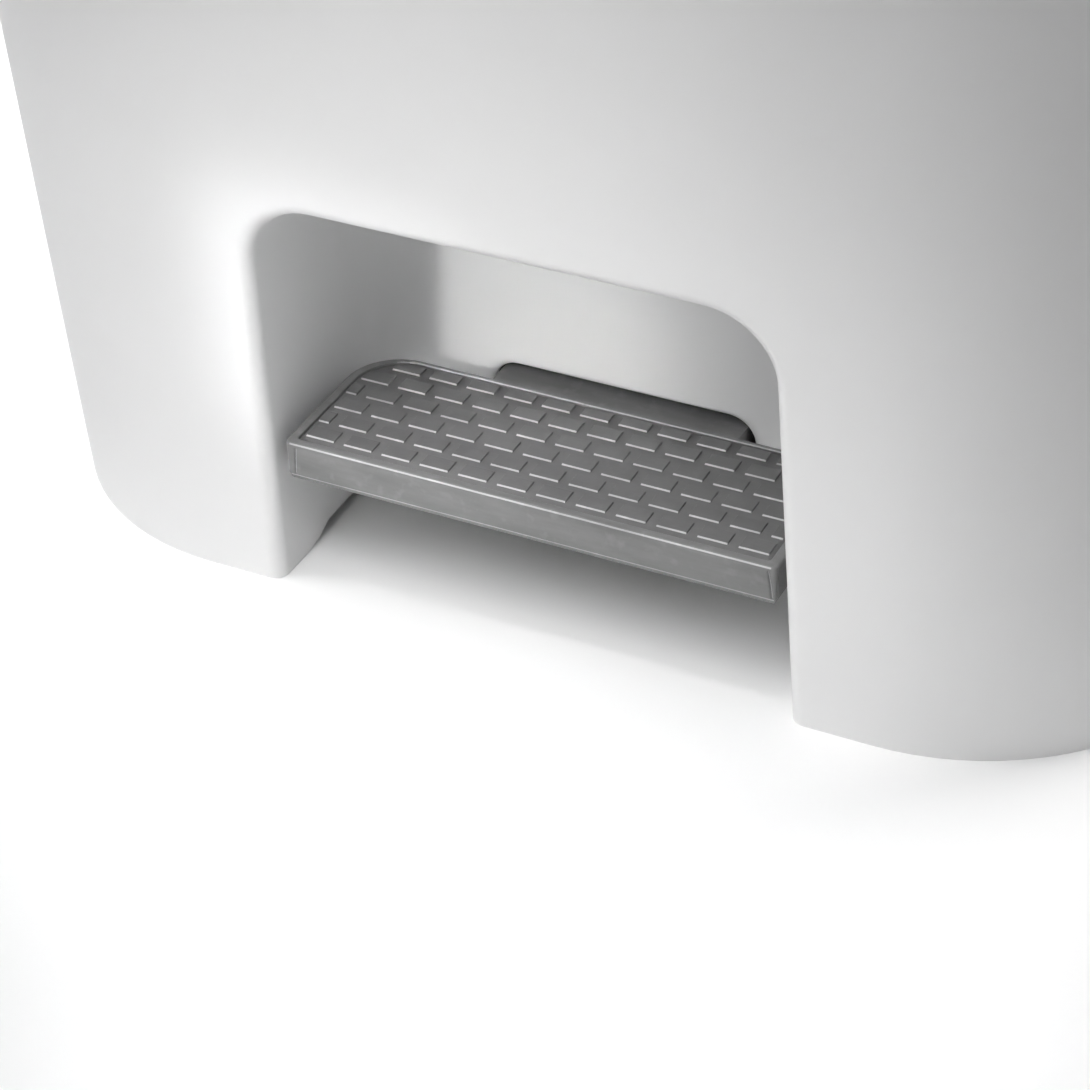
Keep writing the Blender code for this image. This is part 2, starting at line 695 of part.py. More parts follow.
def make_arm():
    """Pedal arm: a wide channel under the tread that becomes a T beam behind the pivot."""
    side = [(ARM_FRONT_Y, ARM_TOP), (ARM_FRONT_Y, ARM_TREAD_LOW_Z), (-118.0, ARM_TREAD_LOW_Z),
            (-100.0, ARM_LOW_Z), (ARM_REAR_Y, ARM_LOW_Z), (ARM_REAR_Y, ARM_TOP)]
    channel = prism("pedal_arm", side, "X", -ARM_HALF_WIDTH, ARM_HALF_WIDTH)
    inner = ARM_HALF_WIDTH - ARM_WALL
    low = (-inner, ARM_FRONT_Y + ARM_WALL, ARM_LOW_Z - 5)
    hollow = box("hollow", low, (inner, ARM_REAR_Y - ARM_WALL, ARM_TOP - 2.4))
    channel = combine(channel, cuts=[hollow])
    root_y = ARM_REAR_Y - 1.0
    end_y = BEAM_FLANGE_END_Y
    flange = [(root_y, beam_slope_z(root_y, True) - 0.05), (end_y, beam_slope_z(end_y, True)),
              (end_y, beam_slope_z(end_y, True) - 2.6), (root_y, beam_slope_z(root_y, True) - 2.65)]
    web = [(root_y, beam_slope_z(root_y, True) - 1.3), (root_y, beam_slope_z(root_y, False)),
           (BEAM_END_Y, beam_slope_z(BEAM_END_Y, False)), (BEAM_END_Y, beam_slope_z(BEAM_END_Y, True) - 1.3)]
    adds = [prism("flange", flange, "X", -BEAM_HALF_FLANGE, BEAM_HALF_FLANGE),
            prism("web", web, "X", -WEB_HALF, WEB_HALF)]
    bush = turned("hole", [(5.4, -60.0), (5.4, 60.0)], "X", (PIVOT_Y, PIVOT_Z))
    tilt = math.atan2(ROD_LOW_Z - PIVOT_Z, ROD_Y - PIVOT_Y)
    reach = math.hypot(ROD_LOW_Z - PIVOT_Z, ROD_Y - PIVOT_Y)
    ends = [(PIVOT_Y + r * math.cos(tilt), PIVOT_Z + r * math.sin(tilt)) for r in (reach - 1.7, reach + 0.5)]
    slot = prism("slot", obround(*ends, ROD_RADIUS + 0.5), "X", -20.0, 20.0)
    holes = [screw_hole("Z", spot, ARM_TOP - 6, ARM_TOP + 2) for spot in TREAD_SCREW_SPOTS]
    arm = combine(channel, adds=adds, cuts=[bush, slot] + holes)
    parts = [arm]
    for index, spot in enumerate(TREAD_SCREW_SPOTS, 1):
        seat = ARM_TOP - 2.4 - GAP
        parts.append(screw(f"tread_screw_{index}", "Z", spot, seat, 1, 3.6, 6.0))
    for sign, word in ((-1, "left"), (1, "right")):
        parts.append(make_bushing(f"pedal_bushing_{word}", sign))
    return parts


def make_bushing(name, sign):
    """Flanged plastic bushing in the arm's side wall."""
    inner = ARM_HALF_WIDTH - ARM_WALL - 1.5
    shoulder = ARM_HALF_WIDTH + GAP
    outer = EAR_X - 1.0
    stations = [(5.1, inner), (5.1, shoulder), (7.5, shoulder), (7.5, outer)]
    profile = [(radius, sign * x) for radius, x in stations]
    bush = turned(name, profile, "X", (PIVOT_Y, PIVOT_Z), ROUND_SEGMENTS)
    bore = turned("hole", [(AXLE_RADIUS + GAP, -60.0), (AXLE_RADIUS + GAP, 60.0)], "X", (PIVOT_Y, PIVOT_Z))
    return combine(bush, cuts=[bore])


def rod_path():
    """Return the lift rod's centre line (x, z): a straight wire with both ends bent to the right."""
    low = [(ROD_END_X, ROD_LOW_Z)]
    low += [(x, z) for x, z in arc((ROD_X + ROD_BEND, ROD_LOW_Z + ROD_BEND), ROD_BEND, 270, 180, 5)]
    high = arc((ROD_X + ROD_BEND, ROD_TOP_Z - ROD_BEND), ROD_BEND, 180, 90, 5)
    return low + high + [(ROD_END_X, ROD_TOP_Z)]


def make_lift_rod():
    """Lift rod and the push-on clips that hold its bent ends."""
    path = rod_path()
    rings = []
    for index, (x, z) in enumerate(path):
        before = path[max(index - 1, 0)]
        after = path[min(index + 1, len(path) - 1)]
        along = Vector((after[0] - before[0], 0, after[1] - before[1])).normalized()
        across = Vector((0, 1, 0)).cross(along)
        ring = [(x + across.x * a, ROD_Y + b, z + across.z * a)
                for a, b in circle(ROD_RADIUS, segments=SMALL_SEGMENTS)]
        rings.append(ring)
    parts = [loft("lift_rod", rings, smooth_angle=50.0)]
    start = WEB_HALF + 0.6
    for word, z in (("lower", ROD_LOW_Z), ("upper", ROD_TOP_Z)):
        parts.append(collar(f"rod_clip_{word}", ROD_RADIUS + GAP, 5.2, "X", (ROD_Y, z), start, start + 2.4))
    return parts


def skirt_bottom(y):
    """Return the lid skirt's lower edge: short at the rear, so that the lid can swing up."""
    return LID_SKIRT_Z + (LID_REAR_SKIRT_Z - LID_SKIRT_Z) * smooth_step((y - SKIRT_RAMP_Y) / SKIRT_RAMP)


def lid_rings(wall):
    """Return the lid's rings from the skirt to the crown, moved inwards by wall."""
    skirt = [(x, y, skirt_bottom(y)) for x, y in rim_plan(wall - LID_OVERHANG, LID_SIDE_STEPS)]
    rings = [skirt]
    radius = LID_SHOULDER_RADIUS - wall
    for step in range(6):
        turn = math.radians(90 * step / 5)
        inset = LID_SHOULDER_RADIUS - radius * math.cos(turn) - LID_OVERHANG
        rings.append(at_height(rim_plan(inset, LID_SIDE_STEPS), LID_SHOULDER_Z + radius * math.sin(turn)))
    plateau = rings[-1]
    middle = (0.0, sum(p[1] for p in plateau) / len(plateau))
    edge_z = plateau[0][2]
    rise = LID_TOP_Z - LID_SHOULDER_Z - LID_SHOULDER_RADIUS
    for share in (0.8, 0.5, 0.2):
        z = edge_z + rise * (1 - share * share)
        rings.append([(middle[0] + (x - middle[0]) * share, middle[1] + (y - middle[1]) * share, z)
                      for x, y, _ in plateau])
    rings[-1] = [(x, y, edge_z + rise) for x, y, _ in rings[-1]]
    return rings


def make_lid():
    """Lid: the domed shell with its bosses, and the inner panel screwed to them."""
    rings = list(reversed(lid_rings(LID_WALL))) + lid_rings(0.0)
    shell = loft("lid_shell", rings)
    bosses = []
    holes = []
    panel_holes = []
    parts = []
    for index, spot in enumerate(BOSS_SPOTS, 1):
        bosses.append(turned("boss", [(BOSS_RADIUS, PANEL_TOP_Z + GAP), (BOSS_RADIUS, BOSS_TOP_Z)], "Z", spot))
        holes.append(screw_hole("Z", spot, PANEL_TOP_Z, PANEL_TOP_Z + 14.0))
        panel_holes.append(screw_hole("Z", spot, PANEL_LOW_Z - 1, PANEL_TOP_Z + 1))
        seat = PANEL_LOW_Z - GAP
        parts.append(screw(f"panel_screw_{index}", "Z", spot, seat, 1, 3.8, 13.0))
    parts.append(combine(shell, adds=bosses, cuts=holes))
    for side in (-1, 1):
        for y in ARM_SPOTS_Y:
            panel_holes.append(screw_hole("Z", (side * LID_ARM_X, y), PANEL_LOW_Z - 1, PANEL_TOP_Z + 1))
    for y in LEVER_SCREW_YS:
        panel_holes.append(screw_hole("Z", (8.0, y), PANEL_LOW_Z - 1, PANEL_TOP_Z + 1))
    plan = rim_plan(LID_WALL + 0.6 - LID_OVERHANG)
    panel = loft("lid_inner_panel", [at_height(plan, PANEL_LOW_Z), at_height(plan, PANEL_TOP_Z)])
    parts.append(combine(panel, cuts=panel_holes))
    return parts


def lid_arm_outline():
    """Return a lid hinge arm's outline (y, z): flat under the panel, round about the pin."""
    top = PANEL_LOW_Z - GAP
    knuckle = arc((HINGE_Y, HINGE_Z), HINGE_KNUCKLE, 180, 360, 8)
    return [(LID_ARM_FRONT_Y, top), (LID_ARM_FRONT_Y, LID_ARM_LOW_Z), (HINGE_Y - HINGE_KNUCKLE, LID_ARM_LOW_Z)] \
        + knuckle + [(HINGE_Y + HINGE_KNUCKLE, 546.0), (HINGE_Y, top)]


def make_lid_arms():
    """Hinge arms under the rear of the lid, with their screws."""
    parts = []
    for side, word in ((-1, "left"), (1, "right")):
        start, end = sorted((side * (LID_ARM_X - LID_ARM_HALF), side * (LID_ARM_X + LID_ARM_HALF)))
        arm = prism(f"lid_arm_{word}", lid_arm_outline(), "X", start, end)
        bore = HINGE_PIN_RADIUS + GAP
        holes = [turned("hole", [(bore, -90.0), (bore, 90.0)], "X", (HINGE_Y, HINGE_Z))]
        for index, y in enumerate(ARM_SPOTS_Y, 1):
            spot = (side * LID_ARM_X, y)
            holes.append(screw_hole("Z", spot, LID_ARM_LOW_Z - 1, PANEL_LOW_Z))
            seat = PANEL_TOP_Z + GAP
            parts.append(screw(f"lid_arm_screw_{word}_{index}", "Z", spot, seat, -1, 3.6, 5.4))
        parts.append(combine(arm, cuts=holes))
    return parts


def make_lever():
    """Lid lever: a slotted web on a small foot, under the middle of the lid's rear."""
    top = PANEL_LOW_Z - GAP
    foot = box("lid_lever", (-WEB_HALF, 147.0, top - 2.4), (14.0, 174.0, top))
    web = prism("web", [(172.0, top - 1.0), (148.0, top - 1.0), (147.0, 524.0), (150.0, 512.5),
                        (157.0, 508.5), (166.0, 513.0), (170.5, 528.0)], "X", -WEB_HALF, WEB_HALF)
    way = (-math.cos(LEVER_ANGLE), -math.sin(LEVER_ANGLE))
    near = LEVER_RADIUS * math.cos(LEVER_ANGLE) - 1.0
    ends = [(HINGE_Y + r * way[0], HINGE_Z + r * way[1]) for r in (near, LEVER_RADIUS + 0.8)]
    slot = prism("slot", obround(*ends, ROD_RADIUS + 1.5), "X", -20.0, 20.0)
    holes = [slot]
    parts = []
    for index, y in enumerate(LEVER_SCREW_YS, 1):
        holes.append(screw_hole("Z", (8.0, y), top - 4, top + 1))
        parts.append(screw(f"lever_screw_{index}", "Z", (8.0, y), PANEL_TOP_Z + GAP, -1, 3.6, 4.8))
    parts.append(combine(foot, adds=[web], cuts=holes))
    return parts


def make_bumpers():
    """Rubber bumpers between the lid panel and the liner's flange."""
    parts = []
    for side, word in ((-1, "left"), (1, "right")):
        center = (side * 95.0, front_y(BODY_HEIGHT) + 4.6)
        profile = [(2.6, FLANGE_TOP_Z + GAP), (3.2, FLANGE_TOP_Z + 1.0), (3.2, PANEL_LOW_Z - GAP)]
        parts.append(turned(f"lid_bumper_{word}", profile, "Z", center))
    return parts


def assemble():
    """Make every piece, give it its material and hang the moving pieces on their axes."""
    white = make_material("white_plastic", (0.83, 0.83, 0.83), 0.42)
    grey = make_material("grey_plastic", (0.17, 0.17, 0.17), 0.38)
    dark = make_material("dark_plastic", (0.06, 0.06, 0.065), 0.5)
    liner = make_material("liner_plastic", (0.32, 0.33, 0.34), 0.5)
    nylon = make_material("natural_nylon", (0.7, 0.68, 0.62), 0.45)
    steel = make_material("zinc_steel", (0.62, 0.62, 0.64), 0.3, 1.0)
    rubber = make_material("black_rubber", (0.03, 0.03, 0.03), 0.8)
    finishes = {"body_shell": white, "lid_shell": white, "lid_inner_panel": white, "lid_arm": white,
                "hinge_bracket": white, "base_plate": dark, "pedal_tread": grey, "pedal_arm": grey,
                "inner_liner": liner, "pedal_bushing": nylon, "rod_guide": nylon, "rod_clip": nylon,
                "pin_cap": nylon, "lid_lever": dark, "foot_pad": rubber, "lid_bumper": rubber}
    fixed = make_body_shell() + make_base() + make_pivot() + make_rod_guides() + make_hinge() + make_liner()
    pedal = make_tread() + make_arm()
    rod = make_lift_rod()
    lid = make_lid() + make_lid_arms() + make_lever() + make_bumpers()
    for item in fixed + pedal + rod + lid:
        matches = [word for word in finishes if item.name.startswith(word)]
        is_screw = "screw" in item.name
        item.data.materials.clear()
        item.data.materials.append(steel if is_screw or not matches else finishes[matches[0]])
    hang("pedal_pivot", (0, PIVOT_Y, PIVOT_Z), pedal)
    hang("rod_slide", (ROD_X, ROD_Y, ROD_LOW_Z), rod)
    hang("lid_hinge", (0, HINGE_Y, HINGE_Z), lid)


def hang(name, spot, items):
    """Parent the items to an empty at a joint's axis without moving them."""
    pivot = bpy.data.objects.new(name, None)
    pivot.location = [value * MM for value in spot]
    bpy.context.collection.objects.link(pivot)
    bpy.context.view_layer.update()
    for item in items:
        item.parent = pivot
        item.matrix_parent_inverse = pivot.matrix_world.inverted()


clear_scene()
assemble()
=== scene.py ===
"""Looks of the pedal trash can: fine meshes, materials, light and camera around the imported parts.

Lengths are in millimetres and are turned into metres when a mesh is made.
X is to the right, Y to the back, Z up. The origin is the middle of the footprint on the floor.
"""

import math

import bmesh
import bpy
from mathutils import Matrix, Vector


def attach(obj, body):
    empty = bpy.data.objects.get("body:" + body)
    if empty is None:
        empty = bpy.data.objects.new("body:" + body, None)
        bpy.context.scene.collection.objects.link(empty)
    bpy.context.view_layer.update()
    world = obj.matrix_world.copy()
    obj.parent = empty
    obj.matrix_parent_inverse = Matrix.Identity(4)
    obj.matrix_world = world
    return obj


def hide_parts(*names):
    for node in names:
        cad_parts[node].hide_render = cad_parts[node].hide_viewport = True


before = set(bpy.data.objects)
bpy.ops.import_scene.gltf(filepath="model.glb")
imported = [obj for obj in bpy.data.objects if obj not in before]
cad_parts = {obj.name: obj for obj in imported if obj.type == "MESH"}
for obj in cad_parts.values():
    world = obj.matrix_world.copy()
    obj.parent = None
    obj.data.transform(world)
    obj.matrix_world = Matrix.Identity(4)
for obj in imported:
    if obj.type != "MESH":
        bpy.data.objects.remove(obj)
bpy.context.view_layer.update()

MM = 0.001

# Body shell.
BODY_HEIGHT = 545.0
BODY_WALL = 3.0
BASE_HALF_WIDTH = 189.0
BASE_FRONT_Y = -164.2
BASE_REAR_Y = 173.04
SIDE_SLOPE = math.tan(math.radians(1.8))
FRONT_SLOPE = math.tan(math.radians(2.68))
REAR_SLOPE = math.tan(math.radians(0.5))
FRONT_CORNER = 80.0
REAR_CORNER = 60.0
SIDE_ARCH_LIFT = 4.0
SIDE_ARCH_INSET = 80.0
SIDE_ARCH_RAMP = 20.0
LIFT_BLEND = 40.0
LEAST_CORNER = 0.4
CORNER_STEPS = 20
SIDE_STEPS = 24
UPPER_LEVELS = 10

# Foot recess and the slot for the pedal arm.
RECESS_HALF_WIDTH = 83.7
RECESS_TOP = 136.2
RECESS_SLOPE = math.tan(math.radians(1.59))
RECESS_CORNER = 21.0
RECESS_EDGE = 4.5
RECESS_FLAT_RINGS = (6.0, 0.8)
RECESS_BACK_Y = -97.2
RECESS_BACK_CORNER = 25.0
RECESS_BACK_LEAST_CORNER = 5.0
RECESS_FOOT_DEPTH = 20.0
RECESS_FOOT_RAMP = 10.0
SLOT_HALF_WIDTH = 44.7
SLOT_TOP = 50.8
SLOT_CORNER = 9.0
SLOT_EDGE = 2.5
SLOT_FLAT_RING = 0.6
SLOT_SIDE_SPREAD = 2.4
FRONT_PANEL_X = 104.0
FRONT_PANEL_TOP = 152.0
ARCH_SIDE = 14
ARCH_TURN = 12
ARCH_TOP = 10
EDGE_STEPS = 8
WALL_STEPS = 6
SWEEP_STEPS = 10
SLOT_STEPS = 6

# Posts inside the body for the base plate's screws.
POST_X = 178.0
POST_HALF = 7.0
POST_OUTER_X = BASE_HALF_WIDTH - 1.4
POST_LOW_Z = 7.8
POST_TOP_Z = 30.0
POST_YS = (-50.0, 95.0)

# Pedal tread.
PEDAL_HALF_WIDTH = 79.0
PEDAL_FRONT_Y = -163.0
PEDAL_DEPTH = 55.1
PEDAL_REAR_Y = PEDAL_FRONT_Y + PEDAL_DEPTH
PEDAL_TOP = 52.3
PEDAL_SKIRT = 12.7
PEDAL_WALL = 1.8
PEDAL_FRONT_CORNER = 2.5
PEDAL_REAR_CORNER = 17.0
ARM_HALF_WIDTH = 41.0
ARM_TOP = 47.4
ARM_NOTCH_GAP = 0.8
ARM_NOTCH_DEPTH = 4.0
CUT_MARGIN = 1.0
TREAD_ROOF = 2.0
HEM_HEIGHT = 1.3
HEM_INSET = 0.35
TOP_ROUND = 0.8
TOP_ROUND_STEPS = 5
CREASE_DEPTH = 0.5
CREASE_HALF = 0.45
CREASE_LEFT_LOW = 0.6
CREASE_LEFT_TOP = 1.3
CREASE_RIGHT_GAP = 0.05
CREASE_OVER_HEM = 1.0
CREASE_UNDER_TOP = 0.9
PLAIN_UNDER_TOP = 0.3
FOLDED_CORNER_LOW = 0.6
FOLDED_CORNER_TOP = 2.0
GATE_MARK_X = 1.5
GATE_MARK_DEPTH = 0.08
FIELD_GROOVE = 0.3
RIM_WIDTH = 3.0
RIM_REAR_WIDTH = 1.9
RIM_BEVEL = 0.3
FIELD_DROP = 0.6
FIELD_FRONT_CORNER = 1.2
FIELD_REAR_CORNER = 15.0
FIELD_FLOOR_INSET = 0.9
BRICK_PITCH = 12.7
BRICK_LENGTH = 9.33
BRICK_DEPTH = 5.6
BRICK_COLUMNS = 12
BRICK_ROWS = 6
BRICK_ROW_PITCH = 8.38
BRICK_FIRST_ROW = 5.7
BRICK_TOP_DROP = 0.1
BRICK_SINK = 0.1
BRICK_EDGE = 0.36
BRICK_SIDE_EDGE = 0.08
TREAD_CORNER_STEPS = 12
TREAD_BOSS_RADIUS = 4.5
TREAD_BOSS_LOW_Z = ARM_TOP + 0.3
TREAD_BOSS_TOP_Z = PEDAL_TOP - 1.6
TREAD_SCREW_SPOTS = [(-28.0, -150.0), (28.0, -150.0), (-28.0, -121.0), (28.0, -121.0)]

# Rings of the tread as (inset, height): HEM_RINGS over the skirt's lower edge, HEM_EDGE_RINGS over the
# hem and GROOVE_RINGS below the tread's top.
HEM_RINGS = [
    (PEDAL_WALL, PEDAL_SKIRT - TREAD_ROOF),
    (PEDAL_WALL, 0.2),
    (PEDAL_WALL - 0.2, 0.0),
    (HEM_INSET + 0.45, 0.0),
    (HEM_INSET + 0.15, 0.12),
    (HEM_INSET, HEM_HEIGHT - 0.1),
]
HEM_EDGE_RINGS = [(0.2, 0.0), (0.0, 0.25), (0.0, 0.5)]
GROOVE_RINGS = [
    (-RIM_BEVEL, 0.0),
    (-RIM_BEVEL / 3, RIM_BEVEL / 3),
    (0.0, RIM_BEVEL),
    (0.05, FIELD_DROP + FIELD_GROOVE),
    (0.5, FIELD_DROP + FIELD_GROOVE),
    (FIELD_FLOOR_INSET, FIELD_DROP),
]

# The tread's materials by index, the strips of its hem that get the painted highlight, and the limits of
# the normal of a face that gets it. The painted highlight is a lighter grey on front-facing edges that
# stands in for the light caught there.
FIELD = 1
PAINTED_HIGHLIGHT = 2
HEM_EDGE_STRIPS = (len(HEM_RINGS), len(HEM_RINGS) + 2)
HIGHLIGHT_EDGE_SIDEWAYS = 0.2
HIGHLIGHT_EDGE_FORWARDS = -0.25
HIGHLIGHT_BRICK_FORWARDS = -0.5
HIGHLIGHT_CORNER_SIDEWAYS = (-0.85, -0.6)

# Liner.
LINER_WALL = 2.0
LINER_FLOOR_Z = 148.0
FLANGE_LOW_Z = 545.3
FLANGE_TOP_Z = 547.8
FLANGE_INSET = 0.6
LINER_TOP_HALF_WIDTH = 198.0
LINER_TOP_FRONT_Y = -181.5
LINER_TOP_REAR_Y = 139.8
LINER_LOW_HALF_WIDTH = 180.0
LINER_LOW_FRONT_Y = -159.0
LINER_LOW_REAR_Y = 129.0
LINER_CORNER = 72.0
LINER_REAR_CORNER = 50.4
LINER_FOOT_ROUND = 8.0
LINER_FOOT_STEPS = 6
LINER_LEVELS = [0.25, 0.5, 0.75]
LINER_NOTCH = ((-22.0, 140.3, 540.0), (16.0, 173.6, 552.0))

# Lid.
LID_OVERHANG = 3.7
LID_WALL = 2.5
LID_SKIRT_Z = 530.0
LID_REAR_SKIRT_Z = 552.0
SKIRT_RAMP_Y = 70.0
SKIRT_RAMP = 70.0
LID_SHOULDER_Z = 566.0
LID_SHOULDER_RADIUS = 24.0
LID_TOP_Z = 600.0
LID_CROWN_ANGLE = 83.6
LID_SHOULDER_STEPS = 16
LID_CROWN_SHARES = (0.94, 0.85, 0.75, 0.62, 0.48, 0.34, 0.2, 0.08)
BOSS_HOLE_RADIUS = 2.2
BOSS_RADIUS = 5.0
BOSS_LOW_Z = 554.3
BOSS_TOP_Z = 591.4
BOSS_SPOTS = [(-150.0, -130.0), (150.0, -130.0), (-150.0, 100.0), (150.0, 100.0)]

# Rounded edges that modifiers add, and how the carried CAD nodes are cleaned for them; angles in degrees.
SHARP_ANGLE = 40.0
WALL_BEVEL_ANGLE = 50.0
BODY_BEVEL = 0.9
LINER_BEVEL = 0.7
LID_BEVEL = 0.8
NODE_BEVEL = 0.3
NODE_BEVEL_ANGLE = 35.0
NODE_WELD_GAP = 0.02
NODE_FLAT_ANGLE = 0.5

# Colours, and the range that most of a noise's values fill.
BODY_WHITE = (0.83, 0.83, 0.83)
# PEDAL_GREY on the skirt and rim is lighter than PEDAL_FIELD_GREY on the sunken field and bricks: partly a
# real difference of tone, partly painted light, the skirt painted lighter for the light that falls on its
# front.
PEDAL_GREY = (0.185, 0.185, 0.185)
PEDAL_FIELD_GREY = (0.138, 0.138, 0.138)
# Lighter grey of the painted highlight on the tread's front-facing edges.
PEDAL_HIGHLIGHT_GREY = (0.46, 0.46, 0.46)
LINER_GREY = (0.32, 0.33, 0.34)
DARK_PLASTIC = (0.06, 0.06, 0.065)
NYLON = (0.7, 0.68, 0.62)
NOISE_LOW = 0.3
NOISE_HIGH = 0.7

# Light and camera.
FLOOR_REACH = 6000.0
WORLD_STRENGTH = 0.1
CAMERA_SPOT = (357.65, -825.03, 585.63)
CAMERA_AZIMUTH = math.radians(27.91)
CAMERA_ELEVATION = math.radians(36.09)
CAMERA_ROLL = math.radians(-2.51)
CAMERA_LENS = 106.31
CAMERA_SENSOR = 36.0
CAMERA_REACH = 50000.0


def smooth_step(value):
    """Ease from 0 to 1."""
    t = min(max(value, 0.0), 1.0)
    return t * t * (3 - 2 * t)


def front_y(z):
    """Return the front face's Y at a height."""
    return BASE_FRONT_Y - z * FRONT_SLOPE


def rear_y(z):
    """Return the rear face's Y at a height."""
    return BASE_REAR_Y + z * REAR_SLOPE


def mix(first, second, share):
    """Return the value at a share of the way from first to second."""
    return first + (second - first) * share


def arc(center, radius, start, end, segments):
    """Return points along an arc, with angles in degrees."""
    steps = [math.radians(mix(start, end, i / segments)) for i in range(segments + 1)]
    return [(center[0] + radius * math.cos(t), center[1] + radius * math.sin(t)) for t in steps]


def at_height(plan, z):
    """Lift a flat outline to a height."""
    return [(x, y, z) for x, y in plan]


# Mesh helpers.

def finish_piece(name, work, materials):
    """Turn a bmesh in millimetres into an object in metres with smooth shading."""
    bmesh.ops.recalc_face_normals(work, faces=work.faces)
    bmesh.ops.scale(work, vec=(MM, MM, MM), verts=work.verts)
    mesh = bpy.data.meshes.new(name)
    work.to_mesh(mesh)
    work.free()
    for material in materials:
        mesh.materials.append(material)
    mesh.shade_smooth()
    mesh.set_sharp_from_angle(angle=math.radians(SHARP_ANGLE))
    piece = bpy.data.objects.new(name, mesh)
    bpy.context.scene.collection.objects.link(piece)
    return piece


def add_loft(work, rings, cap_first=True, cap_last=True):
    """Bridge closed rings with equal point counts and cap the ends; return the faces by strip."""
    loops = [[work.verts.new(point) for point in ring] for ring in rings]
    strips = []
    for lower, upper in zip(loops, loops[1:]):
        turned = zip(lower, lower[1:] + lower[:1], upper[1:] + upper[:1], upper)
        strips.append([work.faces.new(corners) for corners in turned])
    if cap_first:
        strips.append([work.faces.new(list(reversed(loops[0])))])
    if cap_last:
        strips.append([work.faces.new(loops[-1])])
    return strips


def add_box(work, low, high):
    """Add a box between two corners."""
    outline = [(low[0], low[1]), (high[0], low[1]), (high[0], high[1]), (low[0], high[1])]
    add_loft(work, [at_height(outline, low[2]), at_height(outline, high[2])])


def add_tube(work, center, outer, inner, low_z, top_z, segments=32):
    """Add a round boss with a blind hole from below."""
    rings = []
    for radius, z in ((inner, top_z), (inner, low_z), (outer, low_z), (outer, top_z)):
        rings.append(at_height(arc(center, radius, 0, 360 * (1 - 1 / segments), segments - 1), z))
    add_loft(work, rings)


def add_bevel(piece, width, segments, angle):
    """Round a piece's sharp edges and keep its flat faces flat."""
    bevel = piece.modifiers.new("edges", "BEVEL")
    bevel.width = width * MM
    bevel.segments = segments
    bevel.limit_method = "ANGLE"
    bevel.angle_limit = math.radians(angle)
    bevel.harden_normals = True
    bevel.use_clamp_overlap = True


def place_piece(piece, body, nodes):
    """Hang a finished piece on its body, in the place of its CAD nodes."""
    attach(piece, body)
    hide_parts(*nodes)


# Body shell.

def wrap_outline(z, inset):
    """Return the body outline from the front panel's right edge round the back to its left edge."""
    half = BASE_HALF_WIDTH + z * SIDE_SLOPE - inset
    front = front_y(z) + inset
    rear = rear_y(z) - inset
    near = FRONT_CORNER - inset
    far = REAR_CORNER - inset
    right = arc((half - near, front + near), near, -90, 0, CORNER_STEPS)
    side_start = front + near
    side_end = rear - far
    right += [(half, mix(side_start, side_end, step / SIDE_STEPS)) for step in range(1, SIDE_STEPS)]
    right += arc((half - far, rear - far), far, 0, 90, CORNER_STEPS)
    left = [(-x, y) for x, y in reversed(right)]
    return [(FRONT_PANEL_X, front)] + right + [(0.0, rear)] + left + [(-FRONT_PANEL_X, front)]


def side_lift(y):
    """Return how far the lower edge stands off the floor between the corner feet."""
    rise = smooth_step((y - BASE_FRONT_Y - SIDE_ARCH_INSET) / SIDE_ARCH_RAMP)
    fall = smooth_step((BASE_REAR_Y - SIDE_ARCH_INSET + SIDE_ARCH_RAMP - y) / SIDE_ARCH_RAMP)
    return SIDE_ARCH_LIFT * rise * fall


def recess_lift(y):
    """Return how far the recess wall's lower edge stands off the floor behind the front foot."""
    return SIDE_ARCH_LIFT * smooth_step((y - BASE_FRONT_Y - RECESS_FOOT_DEPTH) / RECESS_FOOT_RAMP)


def arch_path(half_width, top, corner):
    """Return an arch outline (x, z) from its right foot over the top to its left foot."""
    spring = top - corner
    heights = [spring * i / ARCH_SIDE for i in range(ARCH_SIDE)]
    right = [(half_width - z * RECESS_SLOPE, z) for z in heights]
    flat = half_width - spring * RECESS_SLOPE - corner
    right += arc((flat, spring), corner, 0, 90, ARCH_TURN)
    right += [(flat * (1 - i / ARCH_TOP), top) for i in range(1, ARCH_TOP)]
    left = [(-x, z) for x, z in reversed(right)]
    return right + [(0.0, top)] + left


def panel_path():
    """Return the front panel's rectangular border, with as many points as an arch."""
    rows = ARCH_SIDE + ARCH_TURN // 2
    columns = ARCH_TURN // 2 + ARCH_TOP
    right = [(FRONT_PANEL_X, FRONT_PANEL_TOP * i / rows) for i in range(rows)]
    right += [(FRONT_PANEL_X * (1 - i / columns), FRONT_PANEL_TOP) for i in range(columns)]
    left = [(-x, z) for x, z in reversed(right)]
    return right + [(0.0, FRONT_PANEL_TOP)] + left


def edge_stations(offset):
    """Return the rings of the recess's rounded front edge, with flat rings outside it."""
    edge = RECESS_EDGE - offset
    wide = RECESS_HALF_WIDTH + offset
    high = RECESS_TOP + offset
    corner = RECESS_CORNER + offset
    rings = [(edge + outside, offset) for outside in RECESS_FLAT_RINGS]
    for step in range(EDGE_STEPS + 1):
        turn = math.radians(90 * step / EDGE_STEPS)
        rings.append((edge * (1 - math.sin(turn)), offset + edge * (1 - math.cos(turn))))
    stations = []
    for grow, depth in rings:
        path = arch_path(wide + grow, high + grow, corner + grow)
        stations.append([(x, front_y(z) + depth, z) for x, z in path])
    return stations


